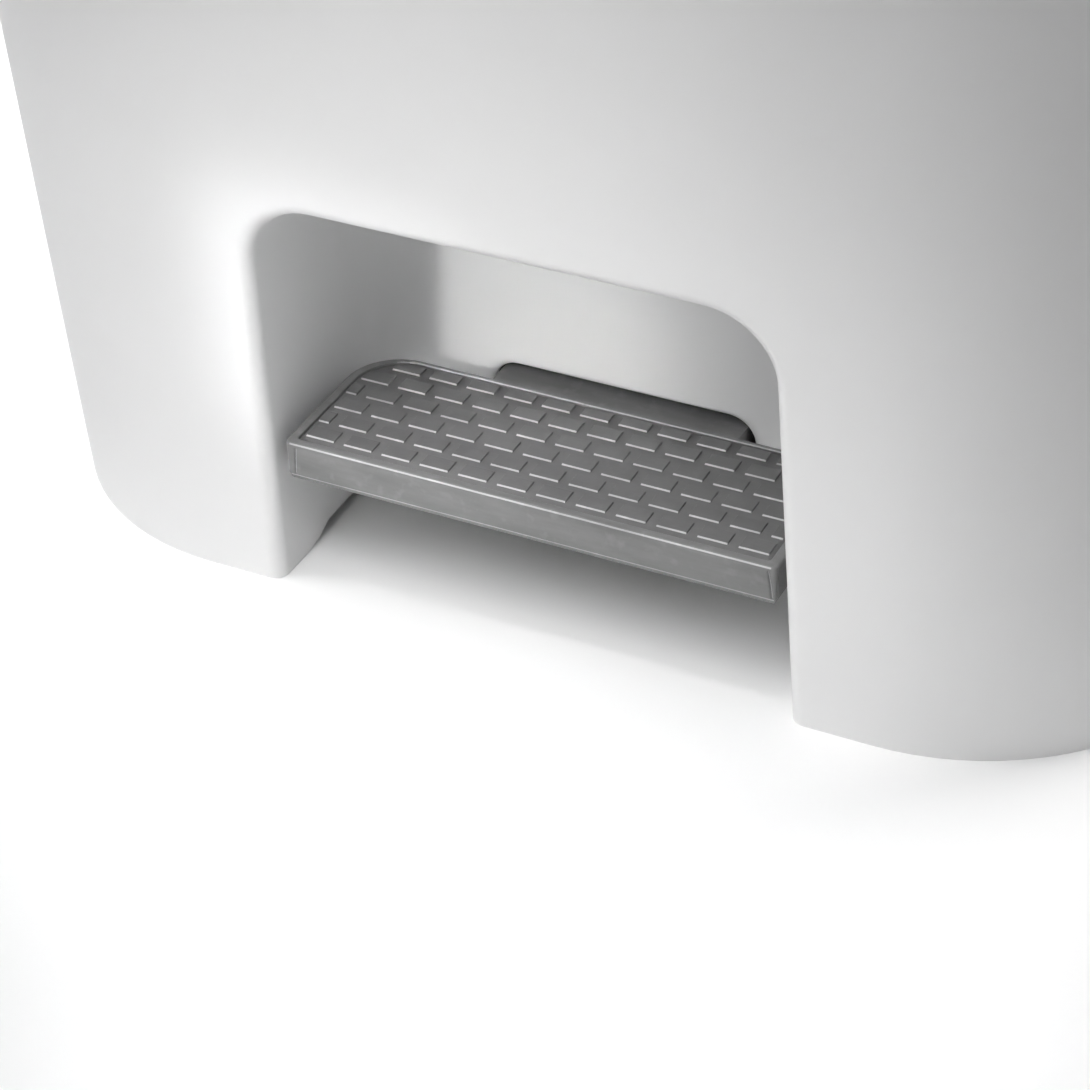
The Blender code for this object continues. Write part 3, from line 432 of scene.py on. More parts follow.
def wall_stations(offset):
    """Return the rings of the recess's side walls, ceiling and the sweep into its back."""
    wide = RECESS_HALF_WIDTH + offset
    high = RECESS_TOP + offset
    sweep = RECESS_BACK_CORNER + offset
    sweep_y = RECESS_BACK_Y - RECESS_BACK_CORNER
    path = arch_path(wide, high, RECESS_CORNER + offset)
    stations = []
    for step in range(1, WALL_STEPS):
        share = step / WALL_STEPS
        stations.append([(x, mix(front_y(z) + RECESS_EDGE, sweep_y, share), z) for x, z in path])
    for step in range(SWEEP_STEPS + 1):
        turn = math.radians(90 * step / SWEEP_STEPS)
        shrink = sweep * (1 - math.cos(turn))
        corner = max(RECESS_CORNER + offset - shrink, RECESS_BACK_LEAST_CORNER)
        path = arch_path(wide - shrink, high - shrink, corner)
        stations.append([(x, sweep_y + sweep * math.sin(turn), z) for x, z in path])
    return stations


def slot_stations(offset):
    """Return the rings of the rounded edge of the slot for the pedal arm."""
    rings = [(SLOT_EDGE + SLOT_FLAT_RING, 0.0)]
    for step in range(SLOT_STEPS + 1):
        turn = math.radians(90 * step / SLOT_STEPS)
        rings.append((SLOT_EDGE * (1 - math.sin(turn)), SLOT_EDGE * (1 - math.cos(turn))))
    stations = []
    for grow, depth in rings:
        path = arch_path(SLOT_HALF_WIDTH + SLOT_SIDE_SPREAD * grow, SLOT_TOP + grow, SLOT_CORNER + grow)
        y = RECESS_BACK_Y + max(depth, offset)
        stations.append([(x, y, z) for x, z in path])
    return stations


def body_sheet(offset):
    """Return the points and faces of the body's surface, moved inwards by offset."""
    points = []
    faces = []

    def add(ring):
        """Keep a ring's points and return their numbers."""
        start = len(points)
        points.extend(ring)
        return list(range(start, start + len(ring)))

    def bridge(first, second, closed=False):
        """Join two rows of point numbers by a strip of faces."""
        last = len(first) if closed else len(first) - 1
        for i in range(last):
            j = (i + 1) % len(first)
            faces.append((first[i], first[j], second[j], second[i]))

    panel = panel_path()
    rows = ARCH_SIDE + ARCH_TURN // 2
    border = add([(x, front_y(z) + offset, z) for x, z in panel])
    wraps = []
    for row in range(rows + 1):
        z = panel[row][1]
        ring = add(at_height(wrap_outline(z, offset)[1:-1], z))
        wraps.append([border[row]] + ring + [border[-1 - row]])
    for lower, upper in zip(wraps, wraps[1:]):
        bridge(lower, upper)
    crown = wraps[-1] + list(reversed(border[rows + 1:-1 - rows]))
    panel_xs = [x for x, _ in reversed(panel[rows + 1:-1 - rows])]
    for level in range(1, UPPER_LEVELS + 1):
        z = mix(FRONT_PANEL_TOP, BODY_HEIGHT, level / UPPER_LEVELS)
        ring = at_height(wrap_outline(z, offset), z) + [(x, front_y(z) + offset, z) for x in panel_xs]
        upper = add(ring)
        bridge(crown, upper, closed=True)
        crown = upper
    previous = border
    for station in edge_stations(offset) + wall_stations(offset) + slot_stations(offset):
        current = add(station)
        bridge(previous, current)
        previous = current
    return points, faces


def lift_lower_edge(points, guide):
    """Raise the lowest points between the feet, following the outer sheet's plan."""
    lifted = []
    for (x, y, z), (guide_x, guide_y, guide_z) in zip(points, guide):
        in_recess = abs(guide_x) < FRONT_PANEL_X and guide_y < RECESS_BACK_Y + BODY_WALL
        lift = recess_lift(guide_y) if in_recess else side_lift(guide_y)
        lifted.append((x, y, z + lift * max(0.0, 1 - guide_z / LIFT_BLEND)))
    return lifted


def make_body(material):
    """Body shell: outer and inner sheets joined along their edges, with the screw posts."""
    outer, faces = body_sheet(0.0)
    inner, _ = body_sheet(BODY_WALL)
    work = bmesh.new()
    outside = [work.verts.new(point) for point in lift_lower_edge(outer, outer)]
    inside = [work.verts.new(point) for point in lift_lower_edge(inner, outer)]
    for face in faces:
        work.faces.new([outside[i] for i in face])
        work.faces.new([inside[i] for i in reversed(face)])
    partner = dict(zip(outside, inside))
    for edge in [e for e in work.edges if e.is_boundary and e.verts[0] in partner]:
        first, second = edge.verts
        work.faces.new((first, second, partner[second], partner[first]))
    for side in (-1, 1):
        for y in POST_YS:
            xs = sorted((side * (POST_X - POST_HALF), side * POST_OUTER_X))
            add_box(work, (xs[0], y - POST_HALF, POST_LOW_Z), (xs[1], y + POST_HALF, POST_TOP_Z))
    body = finish_piece("body", work, [material])
    add_bevel(body, BODY_BEVEL, 3, WALL_BEVEL_ANGLE)
    place_piece(body, "can", ["body_shell"])


# Pedal tread.

def rounded_plan(half_width, front, rear, near, far, inset, corner_steps=TREAD_CORNER_STEPS, side_steps=1):
    """Return a rounded rectangle with near and far corner radii, moved inwards by inset."""
    half_width -= inset
    front += inset
    rear -= inset
    near = max(near - inset, LEAST_CORNER)
    far = max(far - inset, LEAST_CORNER)
    right = arc((half_width - near, front + near), near, -90, 0, corner_steps)
    side_start = front + near
    side_end = rear - far
    right += [(half_width, mix(side_start, side_end, i / side_steps)) for i in range(1, side_steps)]
    right += arc((half_width - far, rear - far), far, 0, 90, corner_steps)
    return right + [(-x, y) for x, y in reversed(right)]


def fold_points(plan, creased=False, share=1.0):
    """Add the skirt's moulded creases to an outline; share is the height up the skirt."""
    depth = CREASE_DEPTH if creased else 0.0
    mark = GATE_MARK_DEPTH if creased else 0.0
    y = plan[0][1]
    left_crease = plan[-1][0] + mix(CREASE_LEFT_LOW, CREASE_LEFT_TOP, share)
    right_crease = plan[0][0] - CREASE_HALF - CREASE_RIGHT_GAP
    front = []
    for middle, fall in ((left_crease, depth), (GATE_MARK_X, mark), (right_crease, depth)):
        front += [(middle - CREASE_HALF, y), (middle, y + fall), (middle + CREASE_HALF, y)]
    side_x, side_y = plan[TREAD_CORNER_STEPS]
    side = [(side_x - depth, side_y + CREASE_HALF), (side_x, side_y + 2 * CREASE_HALF)]
    corner = TREAD_CORNER_STEPS + 1
    return front + plan[:corner] + side + plan[corner:]


def tread_plan(inset, creased=False, share=1.0):
    """Return the tread's outline, moved inwards by inset.

    Its front right corner is folded, tighter below; share is the height up the skirt.
    """
    plans = []
    for near in (mix(FOLDED_CORNER_LOW, FOLDED_CORNER_TOP, share), PEDAL_FRONT_CORNER):
        plans.append(rounded_plan(PEDAL_HALF_WIDTH, PEDAL_FRONT_Y, PEDAL_REAR_Y, near, PEDAL_REAR_CORNER,
                                  inset))
    folded, plain = plans
    middle = len(plain) // 2
    return fold_points(folded[:middle] + plain[middle:], creased, share)


def field_plan(inset):
    """Return the outline of the sunken field inside the tread's rim, moved inwards by inset."""
    return rounded_plan(PEDAL_HALF_WIDTH - RIM_WIDTH, PEDAL_FRONT_Y + RIM_WIDTH,
                        PEDAL_REAR_Y - RIM_REAR_WIDTH, FIELD_FRONT_CORNER, FIELD_REAR_CORNER, inset)


def skirt_rings():
    """Return the rings of the tread's skirt from its underside over the set-back hem to the top edge."""
    low = PEDAL_TOP - PEDAL_SKIRT
    hem = low + HEM_HEIGHT
    top = PEDAL_TOP - TOP_ROUND
    rings = [at_height(tread_plan(inset, share=0.0), low + height) for inset, height in HEM_RINGS]
    rings += [at_height(tread_plan(inset, share=0.0), hem + height) for inset, height in HEM_EDGE_RINGS]
    middle = mix(hem, PEDAL_TOP, 0.5)
    for share, z in ((0.1, hem + CREASE_OVER_HEM), (0.5, middle), (1.0, top - CREASE_UNDER_TOP)):
        rings.append(at_height(tread_plan(0.0, True, share), z))
    return rings + [at_height(tread_plan(0.0), top - PLAIN_UNDER_TOP)]


def rim_rings():
    """Return the rings of the tread's rounded rim and of the groove round its field."""
    rings = []
    for step in range(TOP_ROUND_STEPS + 1):
        turn = math.radians(90 * step / TOP_ROUND_STEPS)
        inset = TOP_ROUND * (1 - math.cos(turn))
        rings.append(at_height(tread_plan(inset), PEDAL_TOP - TOP_ROUND * (1 - math.sin(turn))))
    for inset, depth in GROOVE_RINGS:
        rings.append(at_height(fold_points(field_plan(inset)), PEDAL_TOP - depth))
    return rings


def tint_faces(strips, first, last, index, test):
    """Give the faces of some strips whose normal passes a test another of the tread's materials."""
    for strip in strips[first:last]:
        for face in strip:
            face.normal_update()
            if test(face.normal):
                face.material_index = index


def brick_spans():
    """Return each raised brick's (left, right, front) before it is cut to the field."""
    spans = []
    for row in range(BRICK_ROWS):
        front = PEDAL_FRONT_Y + BRICK_FIRST_ROW + BRICK_ROW_PITCH * row
        count = BRICK_COLUMNS - row % 2
        for index in range(count):
            middle = (index - (count - 1) / 2) * BRICK_PITCH
            spans.append((middle - BRICK_LENGTH / 2, middle + BRICK_LENGTH / 2, front))
        if row % 2 and row < BRICK_ROWS - 1:
            near = (count + 1) / 2 * BRICK_PITCH - BRICK_LENGTH / 2
            spans.append((near, PEDAL_HALF_WIDTH, front))
            spans.append((-PEDAL_HALF_WIDTH, -near, front))
    return spans


def clip_outline(outline, fence):
    """Cut an outline to a convex fence that runs anticlockwise."""
    for start, end in zip(fence, fence[1:] + fence[:1]):
        along = (end[0] - start[0], end[1] - start[1])
        sides = [along[0] * (y - start[1]) - along[1] * (x - start[0]) for x, y in outline]
        kept = []
        for i, point in enumerate(outline):
            before = outline[i - 1]
            if (sides[i] >= 0) != (sides[i - 1] >= 0):
                share = sides[i - 1] / (sides[i - 1] - sides[i])
                kept.append((mix(before[0], point[0], share), mix(before[1], point[1], share)))
            if sides[i] >= 0:
                kept.append(point)
        outline = kept
        if len(outline) < 3:
            return []
    return outline


def shrink_outline(outline, amount):
    """Move a small convex outline's points towards its middle box by an amount on each axis."""
    xs = [x for x, _ in outline]
    ys = [y for _, y in outline]
    middle = ((min(xs) + max(xs)) / 2, (min(ys) + max(ys)) / 2)
    scale_x = 1 - 2 * amount / (max(xs) - min(xs))
    scale_y = 1 - 2 * amount / (max(ys) - min(ys))
    return [(mix(middle[0], x, scale_x), mix(middle[1], y, scale_y)) for x, y in outline]


def brick_rings(outline, front):
    """Return a brick's rings from its foot to its top; its front edge has the widest bevel."""
    foot = PEDAL_TOP - FIELD_DROP - BRICK_SINK
    top = PEDAL_TOP - BRICK_TOP_DROP
    shoulder = []
    for x, y in outline:
        edge = BRICK_EDGE if y < front + BRICK_SIDE_EDGE else BRICK_SIDE_EDGE
        shoulder.append((x, y, top - edge))
    inner = [(x, max(y, front + BRICK_EDGE)) for x, y in shrink_outline(outline, BRICK_SIDE_EDGE)]
    return [at_height(outline, foot), shoulder, at_height(inner, top)]


def add_bricks(work):
    """Add the raised bricks; their front bevels get a painted highlight in a lighter grey."""
    fence = field_plan(FIELD_FLOOR_INSET)
    for left, right, front in brick_spans():
        rear = front + BRICK_DEPTH
        outline = clip_outline([(left, front), (right, front), (right, rear), (left, rear)], fence)
        if not outline:
            continue
        strips = add_loft(work, brick_rings(outline, front), cap_first=False)
        tint_faces(strips, 0, len(strips), FIELD, lambda normal: True)
        # Painted highlight: the front-facing bevels of each brick get the lighter grey.
        tint_faces(strips, 1, 2, PAINTED_HIGHLIGHT, lambda normal: normal.y < HIGHLIGHT_BRICK_FORWARDS)


def make_tread(finishes):
    """Pedal tread: a shallow cap with a hemmed skirt, a raised rim and a field of bricks."""
    work = bmesh.new()
    skirt = skirt_rings()
    strips = add_loft(work, skirt + rim_rings())
    top_edge = len(skirt) + 1
    rim_inside = len(skirt) + TOP_ROUND_STEPS + 1

    def faces_front(normal):
        """Tell whether a face of the rim or the hem looks to the front."""
        return abs(normal.x) < HIGHLIGHT_EDGE_SIDEWAYS and normal.y < HIGHLIGHT_EDGE_FORWARDS

    def faces_left_corner(normal):
        """Tell whether a face is in the middle of the front left corner's turn."""
        return HIGHLIGHT_CORNER_SIDEWAYS[0] < normal.x < HIGHLIGHT_CORNER_SIDEWAYS[1] and normal.y < 0

    tint_faces(strips, rim_inside + 1, len(strips), FIELD, lambda normal: True)
    # Painted highlight: front-facing faces of the hem edge, top edge and rim groove, and the middle of the
    # front left corner's turn, get the lighter grey that stands in for the light caught there.
    tint_faces(strips, *HEM_EDGE_STRIPS, PAINTED_HIGHLIGHT, faces_front)
    tint_faces(strips, top_edge, top_edge + 2, PAINTED_HIGHLIGHT, faces_front)
    tint_faces(strips, rim_inside, rim_inside + 2, PAINTED_HIGHLIGHT, faces_front)
    tint_faces(strips, HEM_EDGE_STRIPS[1], top_edge, PAINTED_HIGHLIGHT, faces_left_corner)
    add_bricks(work)
    for spot in TREAD_SCREW_SPOTS:
        add_tube(work, spot, TREAD_BOSS_RADIUS, BOSS_HOLE_RADIUS, TREAD_BOSS_LOW_Z, TREAD_BOSS_TOP_Z)
    tread = finish_piece("tread", work, finishes)
    half_width = ARM_HALF_WIDTH + ARM_NOTCH_GAP
    low = (-half_width, PEDAL_REAR_Y - ARM_NOTCH_DEPTH, PEDAL_TOP - PEDAL_SKIRT - CUT_MARGIN)
    high = (half_width, PEDAL_REAR_Y + CUT_MARGIN, ARM_TOP + ARM_NOTCH_GAP)
    cut_notch(tread, low, high)
    place_piece(tread, "pedal", ["pedal_tread"])


def cut_notch(piece, low, high):
    """Cut a box out of a piece and keep the result as its mesh."""
    work = bmesh.new()
    add_box(work, low, high)
    tool = finish_piece("notch", work, [])
    cut = piece.modifiers.new("notch", "BOOLEAN")
    cut.operation = "DIFFERENCE"
    cut.object = tool
    graph = bpy.context.evaluated_depsgraph_get()
    mesh = bpy.data.meshes.new_from_object(piece.evaluated_get(graph))
    piece.modifiers.clear()
    piece.data = mesh
    bpy.data.objects.remove(tool, do_unlink=True)
    split_large_faces(mesh)


def split_large_faces(mesh):
    """Split the faces that have more than four corners into triangles."""
    work = bmesh.new()
    work.from_mesh(mesh)
    bmesh.ops.triangulate(work, faces=[face for face in work.faces if len(face.verts) > 4])
    work.to_mesh(mesh)
    work.free()


# Liner.

def rim_plan(inset):
    """Return the outline of the body's top rim, moved inwards by inset."""
    half = BASE_HALF_WIDTH + BODY_HEIGHT * SIDE_SLOPE
    return rounded_plan(half, front_y(BODY_HEIGHT), rear_y(BODY_HEIGHT), FRONT_CORNER, REAR_CORNER,
                        inset, CORNER_STEPS, SIDE_STEPS)


def liner_plan(share, inset):
    """Return the liner's outer outline at a share of its height, moved inwards by inset."""
    half = mix(LINER_LOW_HALF_WIDTH, LINER_TOP_HALF_WIDTH, share)
    front = mix(LINER_LOW_FRONT_Y, LINER_TOP_FRONT_Y, share)
    rear = mix(LINER_LOW_REAR_Y, LINER_TOP_REAR_Y, share)
    return rounded_plan(half, front, rear, LINER_CORNER, LINER_REAR_CORNER, inset, CORNER_STEPS, SIDE_STEPS)


def liner_foot(wall):
    """Return the rings round the liner's bottom edge, from the floor up to the wall."""
    radius = LINER_FOOT_ROUND - wall
    rings = []
    for step in range(LINER_FOOT_STEPS + 1):
        turn = math.radians(90 * step / LINER_FOOT_STEPS)
        inset = LINER_FOOT_ROUND - radius * math.sin(turn)
        z = LINER_FLOOR_Z + LINER_FOOT_ROUND - radius * math.cos(turn)
        rings.append(at_height(liner_plan(0.0, inset), z))
    return rings


def make_liner(material):
    """Inner liner: a tapered bucket that hangs by its flange."""
    low = LINER_FLOOR_Z + LINER_FOOT_ROUND
    rings = liner_foot(0.0)
    rings += [at_height(liner_plan(share, 0.0), mix(low, FLANGE_LOW_Z, share)) for share in LINER_LEVELS]
    rings += [
        at_height(liner_plan(1.0, 0.0), FLANGE_LOW_Z),
        at_height(rim_plan(FLANGE_INSET), FLANGE_LOW_Z),
        at_height(rim_plan(FLANGE_INSET), FLANGE_TOP_Z),
        at_height(liner_plan(1.0, LINER_WALL), FLANGE_TOP_Z),
    ]
    rings += [at_height(liner_plan(share, LINER_WALL), mix(low, FLANGE_TOP_Z, share))
              for share in reversed(LINER_LEVELS)]
    rings += reversed(liner_foot(LINER_WALL))
    work = bmesh.new()
    add_loft(work, rings)
    liner = finish_piece("liner", work, [material])
    cut_notch(liner, *LINER_NOTCH)
    add_bevel(liner, LINER_BEVEL, 2, WALL_BEVEL_ANGLE)
    place_piece(liner, "can", ["inner_liner"])


# Lid.

def skirt_bottom(y):
    """Return the lid skirt's lower edge: short at the rear, so that the lid can swing up."""
    return mix(LID_SKIRT_Z, LID_REAR_SKIRT_Z, smooth_step((y - SKIRT_RAMP_Y) / SKIRT_RAMP))


def lid_rings(wall):
    """Return the lid's rings from the skirt to the crown, moved inwards by wall."""
    plan = rim_plan(wall - LID_OVERHANG)
    skirt = [(x, y, skirt_bottom(y)) for x, y in plan]
    rings = [skirt, [(x, y, mix(z, LID_SHOULDER_Z, 0.5)) for x, y, z in skirt]]
    radius = LID_SHOULDER_RADIUS - wall
    for step in range(LID_SHOULDER_STEPS + 1):
        turn = math.radians(LID_CROWN_ANGLE * step / LID_SHOULDER_STEPS)
        inset = LID_SHOULDER_RADIUS - radius * math.cos(turn) - LID_OVERHANG
        rings.append(at_height(rim_plan(inset), LID_SHOULDER_Z + radius * math.sin(turn)))
    edge = rings[-1]
    edge_z = edge[0][2]
    middle_y = sum(y for _, y, _ in edge) / len(edge)
    rise = LID_TOP_Z - wall - edge_z
    for share in LID_CROWN_SHARES:
        z = edge_z + rise * (1 - share * share)
        rings.append([(x * share, mix(middle_y, y, share), z) for x, y, _ in edge])
    return rings


def make_lid(material):
    """Lid: the domed shell with its bosses."""
    work = bmesh.new()
    add_loft(work, list(reversed(lid_rings(LID_WALL))) + lid_rings(0.0))
    for spot in BOSS_SPOTS:
        add_tube(work, spot, BOSS_RADIUS, BOSS_HOLE_RADIUS, BOSS_LOW_Z, BOSS_TOP_Z)
    lid = finish_piece("lid", work, [material])
    add_bevel(lid, LID_BEVEL, 3, WALL_BEVEL_ANGLE)
    place_piece(lid, "lid", ["lid_shell"])


# Materials.

class NodeKit:
    """A material's nodes, made and linked by short calls."""

    def __init__(self, name):
        """Make a material and keep its shader and its object coordinates."""
        self.material = bpy.data.materials.new(name)
        self.material.use_nodes = True
        self.nodes = self.material.node_tree.nodes
        self.links = self.material.node_tree.links
        self.shader = self.nodes["Principled BSDF"]
        self.place = self.nodes.new("ShaderNodeTexCoord").outputs["Object"]

    def stretch(self, scale):
        """Return the object coordinates, scaled apart on each axis."""
        mapping = self.nodes.new("ShaderNodeMapping")
        mapping.inputs["Scale"].default_value = scale
        self.links.new(self.place, mapping.inputs["Vector"])
        return mapping.outputs["Vector"]

    def noise(self, scale, detail=4.0, roughness=0.55, stretch=None):
        """Return a noise value from 0 to 1."""
        noise = self.nodes.new("ShaderNodeTexNoise")
        noise.inputs["Scale"].default_value = scale
        noise.inputs["Detail"].default_value = detail
        noise.inputs["Roughness"].default_value = roughness
        self.links.new(self.stretch(stretch) if stretch else self.place, noise.inputs["Vector"])
        return noise.outputs["Fac"]

    def ramp(self, value, low=0.0, high=1.0, start=NOISE_LOW, end=NOISE_HIGH):
        """Return a value mapped from the range start..end to low..high."""
        ramp = self.nodes.new("ShaderNodeMapRange")
        ramp.inputs["From Min"].default_value = start
        ramp.inputs["From Max"].default_value = end
        ramp.inputs["To Min"].default_value = low
        ramp.inputs["To Max"].default_value = high
        self.links.new(value, ramp.inputs["Value"])
        return ramp.outputs["Result"]

    def blend(self, factor, first, second):
        """Return a colour between two colours or colour outputs."""
        blend = self.nodes.new("ShaderNodeMix")
        blend.data_type = "RGBA"
        self.links.new(factor, blend.inputs["Factor"])
        for socket, color in ((blend.inputs[6], first), (blend.inputs[7], second)):
            if isinstance(color, tuple):
                socket.default_value = (*color, 1.0)
            else:
                self.links.new(color, socket)
        return blend.outputs[2]

    def relief(self, height, distance, strength, after=None):
        """Return a bumped normal, on top of an earlier one; the distance is in metres."""
        bump = self.nodes.new("ShaderNodeBump")
        bump.inputs["Strength"].default_value = strength
        bump.inputs["Distance"].default_value = distance
        self.links.new(height, bump.inputs["Height"])
        if after is not None:
            self.links.new(after, bump.inputs["Normal"])
        return bump.outputs["Normal"]

    def feed(self, **outputs):
        """Link outputs to the shader's sockets, whose names have underscores for spaces."""
        for name, output in outputs.items():
            self.links.new(output, self.shader.inputs[name.replace("_", " ")])

    def fix(self, **values):
        """Set fixed values on the shader's own sockets."""
        for name, value in values.items():
            self.shader.inputs[name.replace("_", " ")].default_value = value


def shade(color, factor):
    """Return a colour made darker or lighter by a factor."""
    return tuple(channel * factor for channel in color)


def moulded_plastic(name, color, roughness, grain=0.00004, spread=0.03):
    """Satin moulded plastic: faint cloudiness, a fine eggshell surface and uneven gloss."""
    kit = NodeKit(name)
    cloud = kit.noise(scale=9.0, detail=3.0)
    gloss = kit.noise(scale=35.0, detail=4.0)
    eggshell = kit.noise(scale=900.0, detail=2.0)
    darker = shade(color, 1 - spread / 2)
    lighter = shade(color, 1 + spread / 2)
    kit.feed(Base_Color=kit.blend(kit.ramp(cloud), darker, lighter))
    kit.feed(Roughness=kit.ramp(gloss, low=roughness - 0.03, high=roughness + 0.03))
    kit.feed(Normal=kit.relief(eggshell, distance=grain, strength=0.5))
    return kit.material


def pedal_plastic(name, color, streak):
    """Grey pedal plastic: flow streaks along the pedal, soft mottling and a few brighter scuffs."""
    kit = NodeKit(name)
    flow = kit.noise(scale=60.0, detail=5.0, roughness=0.6, stretch=(0.35, 1.6, 1.6))
    mottle = kit.noise(scale=240.0, detail=3.0, roughness=0.5)
    swell = kit.noise(scale=160.0, detail=2.0)
    grain = kit.noise(scale=1100.0, detail=2.0)
    base = kit.blend(kit.ramp(flow, end=0.72), shade(color, 1 - streak), shade(color, 1 + streak))
    scuff = kit.ramp(mottle, high=0.6, start=0.55, end=0.8)
    kit.feed(Base_Color=kit.blend(scuff, base, shade(color, 1 + 1.8 * streak)))
    kit.feed(Roughness=kit.ramp(flow, low=0.34, high=0.46))
    wave = kit.relief(swell, distance=0.00012, strength=0.4)
    kit.feed(Normal=kit.relief(grain, distance=0.00003, strength=0.5, after=wave))
    return kit.material


def zinc_steel(name):
    """Zinc plated steel: fine drawn lines and a slightly cloudy passivated surface."""
    kit = NodeKit(name)
    cloud = kit.noise(scale=140.0, detail=4.0)
    lines = kit.noise(scale=900.0, detail=2.0, roughness=0.5, stretch=(0.15, 1.0, 1.0))
    kit.feed(Base_Color=kit.blend(kit.ramp(cloud), (0.55, 0.55, 0.56), (0.68, 0.68, 0.7)))
    kit.feed(Roughness=kit.ramp(lines, low=0.24, high=0.38))
    kit.feed(Normal=kit.relief(lines, distance=0.00002, strength=0.4))
    kit.fix(Metallic=1.0)
    return kit.material


def black_rubber(name):
    """Matte black rubber with a fine grain and pale dust in its hollows."""
    kit = NodeKit(name)
    grain = kit.noise(scale=1400.0, detail=3.0)
    dust = kit.ramp(kit.noise(scale=120.0, detail=4.0), start=0.4, end=0.8)
    kit.feed(Base_Color=kit.blend(dust, (0.025, 0.025, 0.026), (0.05, 0.049, 0.047)))
    kit.feed(Roughness=kit.ramp(grain, low=0.72, high=0.88))
    kit.feed(Normal=kit.relief(grain, distance=0.00005, strength=0.7))
    return kit.material


def floor_paper(name):
    """White paper sweep under the object."""
    kit = NodeKit(name)
    tone = kit.noise(scale=3.0, detail=2.0)
    kit.feed(Base_Color=kit.blend(tone, (0.93, 0.93, 0.93), (0.95, 0.95, 0.95)))
    kit.fix(Roughness=0.9, Specular_IOR_Level=0.1)
    return kit.material


def make_materials():
    """Return the finish of each of the record's material slots."""
    return {
        "body_white": moulded_plastic("body_white", BODY_WHITE, roughness=0.42),
        "pedal_grey": pedal_plastic("pedal_grey", PEDAL_GREY, streak=0.24),
        "liner_grey": moulded_plastic("liner_grey", LINER_GREY, roughness=0.5, grain=0.00006, spread=0.06),
        "dark_plastic": moulded_plastic("dark_plastic", DARK_PLASTIC, roughness=0.5, grain=0.00006,
                                        spread=0.1),
        "nylon": moulded_plastic("nylon", NYLON, roughness=0.45, spread=0.06),
        "zinc_steel": zinc_steel("zinc_steel"),
        "rubber": black_rubber("rubber"),
    }


def make_tread_finishes(pedal_grey):
    """Return the tread's finishes in the order of their indices: its own grey, FIELD and the painted
    highlight grey.
    """
    return [
        pedal_grey,
        pedal_plastic("pedal_field_grey", PEDAL_FIELD_GREY, streak=0.12),
        # Lighter grey painted on front-facing edges as a painted highlight.
        pedal_plastic("pedal_painted_highlight_grey", PEDAL_HIGHLIGHT_GREY, streak=0.3),
    ]


def finish_carried_node(node, material):
    """Give a CAD node its material, smooth shading and softened edges, without touching its mesh points."""
    node.data.materials.clear()
    node.data.materials.append(material)
    custom = node.data.attributes.get("custom_normal")
    if custom is not None:
        node.data.attributes.remove(custom)
    node.data.shade_smooth()
    weld = node.modifiers.new("weld", "WELD")
    weld.merge_threshold = NODE_WELD_GAP * MM
    flat = node.modifiers.new("flat faces", "DECIMATE")
    flat.decimate_type = "DISSOLVE"
    flat.angle_limit = math.radians(NODE_FLAT_ANGLE)
    add_bevel(node, NODE_BEVEL, 2, NODE_BEVEL_ANGLE)


def finish_carried_nodes(materials):
    """Finish every CAD node that still shows."""
    for name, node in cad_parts.items():
        if not node.hide_render:
            finish_carried_node(node, materials[node_slot(name)])


def node_slot(name):
    """Return the material slot of a CAD node by the kind of piece it is."""
    kinds = {
        "body_white": ("lid_inner_panel", "lid_arm_left", "lid_arm_right", "hinge_bracket"),
        "pedal_grey": ("pedal_arm",),
        "dark_plastic": ("base_plate", "lid_lever"),
        "nylon": ("pedal_bushing", "rod_guide", "rod_clip", "pin_cap"),
        "rubber": ("foot_pad", "lid_bumper"),
    }
    for slot, starts in kinds.items():
        if "screw" not in name and name.startswith(starts):
            return slot
    return "zinc_steel"


# Stage.

def make_floor():
    """Wide pale floor under the object."""
    work = bmesh.new()
    signs = [(-1, -1), (1, -1), (1, 1), (-1, 1)]
    work.faces.new([work.verts.new((x * FLOOR_REACH, y * FLOOR_REACH, 0.0)) for x, y in signs])
    finish_piece("floor", work, [floor_paper("floor_paper")])


def add_area_light(name, spot, target, size, power, spread=180):
    """Add a square area light that faces a point; its power is in watts and its spread in degrees."""
    data = bpy.data.lights.new(name, "AREA")
    data.shape = "SQUARE"
    data.size = size * MM
    data.energy = power
    data.spread = math.radians(spread)
    lamp = bpy.data.objects.new(name, data)
    lamp.location = Vector(spot) * MM
    aim = Vector(target) - Vector(spot)
    lamp.rotation_euler = aim.to_track_quat("-Z", "Y").to_euler()
    lamp.visible_camera = False
    bpy.context.scene.collection.objects.link(lamp)


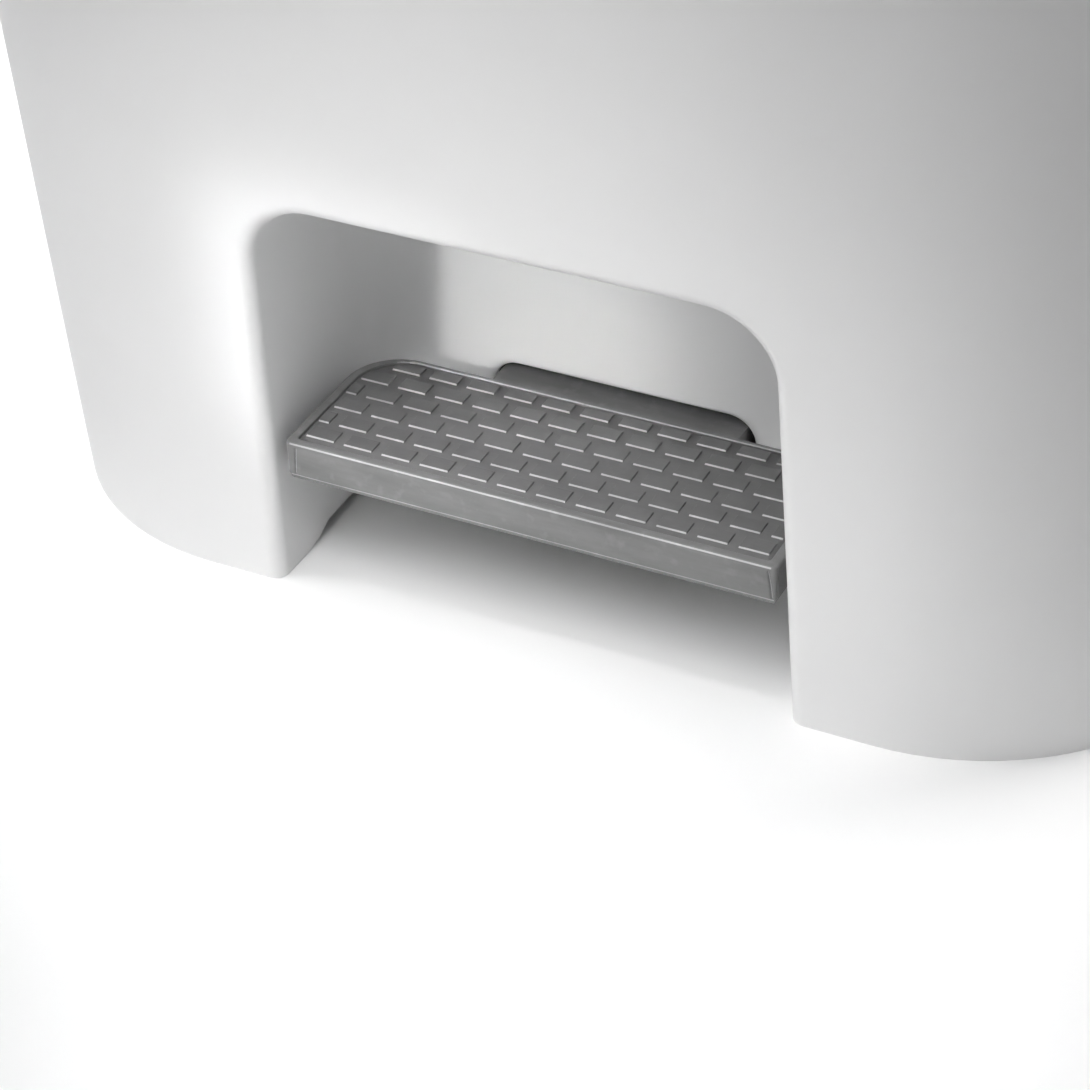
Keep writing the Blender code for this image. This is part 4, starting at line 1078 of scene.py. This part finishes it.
def make_light():
    """Soft studio light: big lamps behind whiten the floor, small ones in front open up the recess."""
    add_area_light("behind_right", (900, 1100, 1500), (0, 0, 200), size=1000, power=27.5)
    add_area_light("front_right", (700, -1000, 1400), (0, -150, 100), size=800, power=1.3)
    add_area_light("floor_back_left", (-600, 100, 1000), (-400, 0, 0), size=300, power=0.47, spread=40)
    add_area_light("floor_left", (-700, -400, 1200), (-330, -150, 0), size=400, power=0.56, spread=40)
    add_area_light("floor_front", (100, -450, 1200), (100, -400, 0), size=200, power=0.2, spread=25)
    add_area_light("front_upper", (150, -1600, 700), (0, -100, 545), size=200, power=0.14, spread=13)
    add_area_light("recess_high", (0, -420, 500), (0, -150, 0), size=200, power=0.156, spread=60)
    add_area_light("recess_middle", (-100, -500, 350), (0, -170, 0), size=150, power=0.063, spread=50)
    add_area_light("recess_left", (-250, -350, 250), (-50, -130, 60), size=120, power=0.018, spread=60)
    add_area_light("recess_wall", (-150, -480, 220), (-25, -100, 65), size=80, power=0.0093, spread=10)
    add_area_light("recess_glow", (-170, -520, 250), (-20, -105, 65), size=60, power=0.0019, spread=14)


def make_world():
    """Pale surroundings that fill the shadows a little and show above the floor."""
    world = bpy.data.worlds.new("surroundings")
    world.use_nodes = True
    background = world.node_tree.nodes["Background"]
    background.inputs["Color"].default_value = (1.0, 1.0, 1.0, 1.0)
    background.inputs["Strength"].default_value = WORLD_STRENGTH
    bpy.context.scene.world = world


def make_camera():
    """Camera in front of the pedal, to the right and above, at the photograph's angle."""
    right = Vector((math.cos(CAMERA_AZIMUTH), math.sin(CAMERA_AZIMUTH), 0.0))
    level_back = Vector((math.sin(CAMERA_AZIMUTH), -math.cos(CAMERA_AZIMUTH), 0.0))
    back = level_back * math.cos(CAMERA_ELEVATION) + Vector((0.0, 0.0, math.sin(CAMERA_ELEVATION)))
    up = back.cross(right)
    across = right * math.cos(CAMERA_ROLL) + up * math.sin(CAMERA_ROLL)
    along = up * math.cos(CAMERA_ROLL) - right * math.sin(CAMERA_ROLL)
    data = bpy.data.cameras.new("camera")
    data.lens = CAMERA_LENS
    data.sensor_width = CAMERA_SENSOR
    data.clip_end = CAMERA_REACH * MM
    camera = bpy.data.objects.new("camera", data)
    turn = Matrix((across, along, back)).transposed()
    camera.matrix_world = Matrix.Translation(Vector(CAMERA_SPOT) * MM) @ turn.to_4x4()
    bpy.context.scene.collection.objects.link(camera)
    bpy.context.scene.camera = camera


materials = make_materials()
make_body(materials["body_white"])
make_tread(make_tread_finishes(materials["pedal_grey"]))
make_liner(materials["liner_grey"])
make_lid(materials["body_white"])
finish_carried_nodes(materials)
make_floor()
make_light()
make_world()
make_camera()
bpy.context.scene.view_settings.view_transform = "Standard"
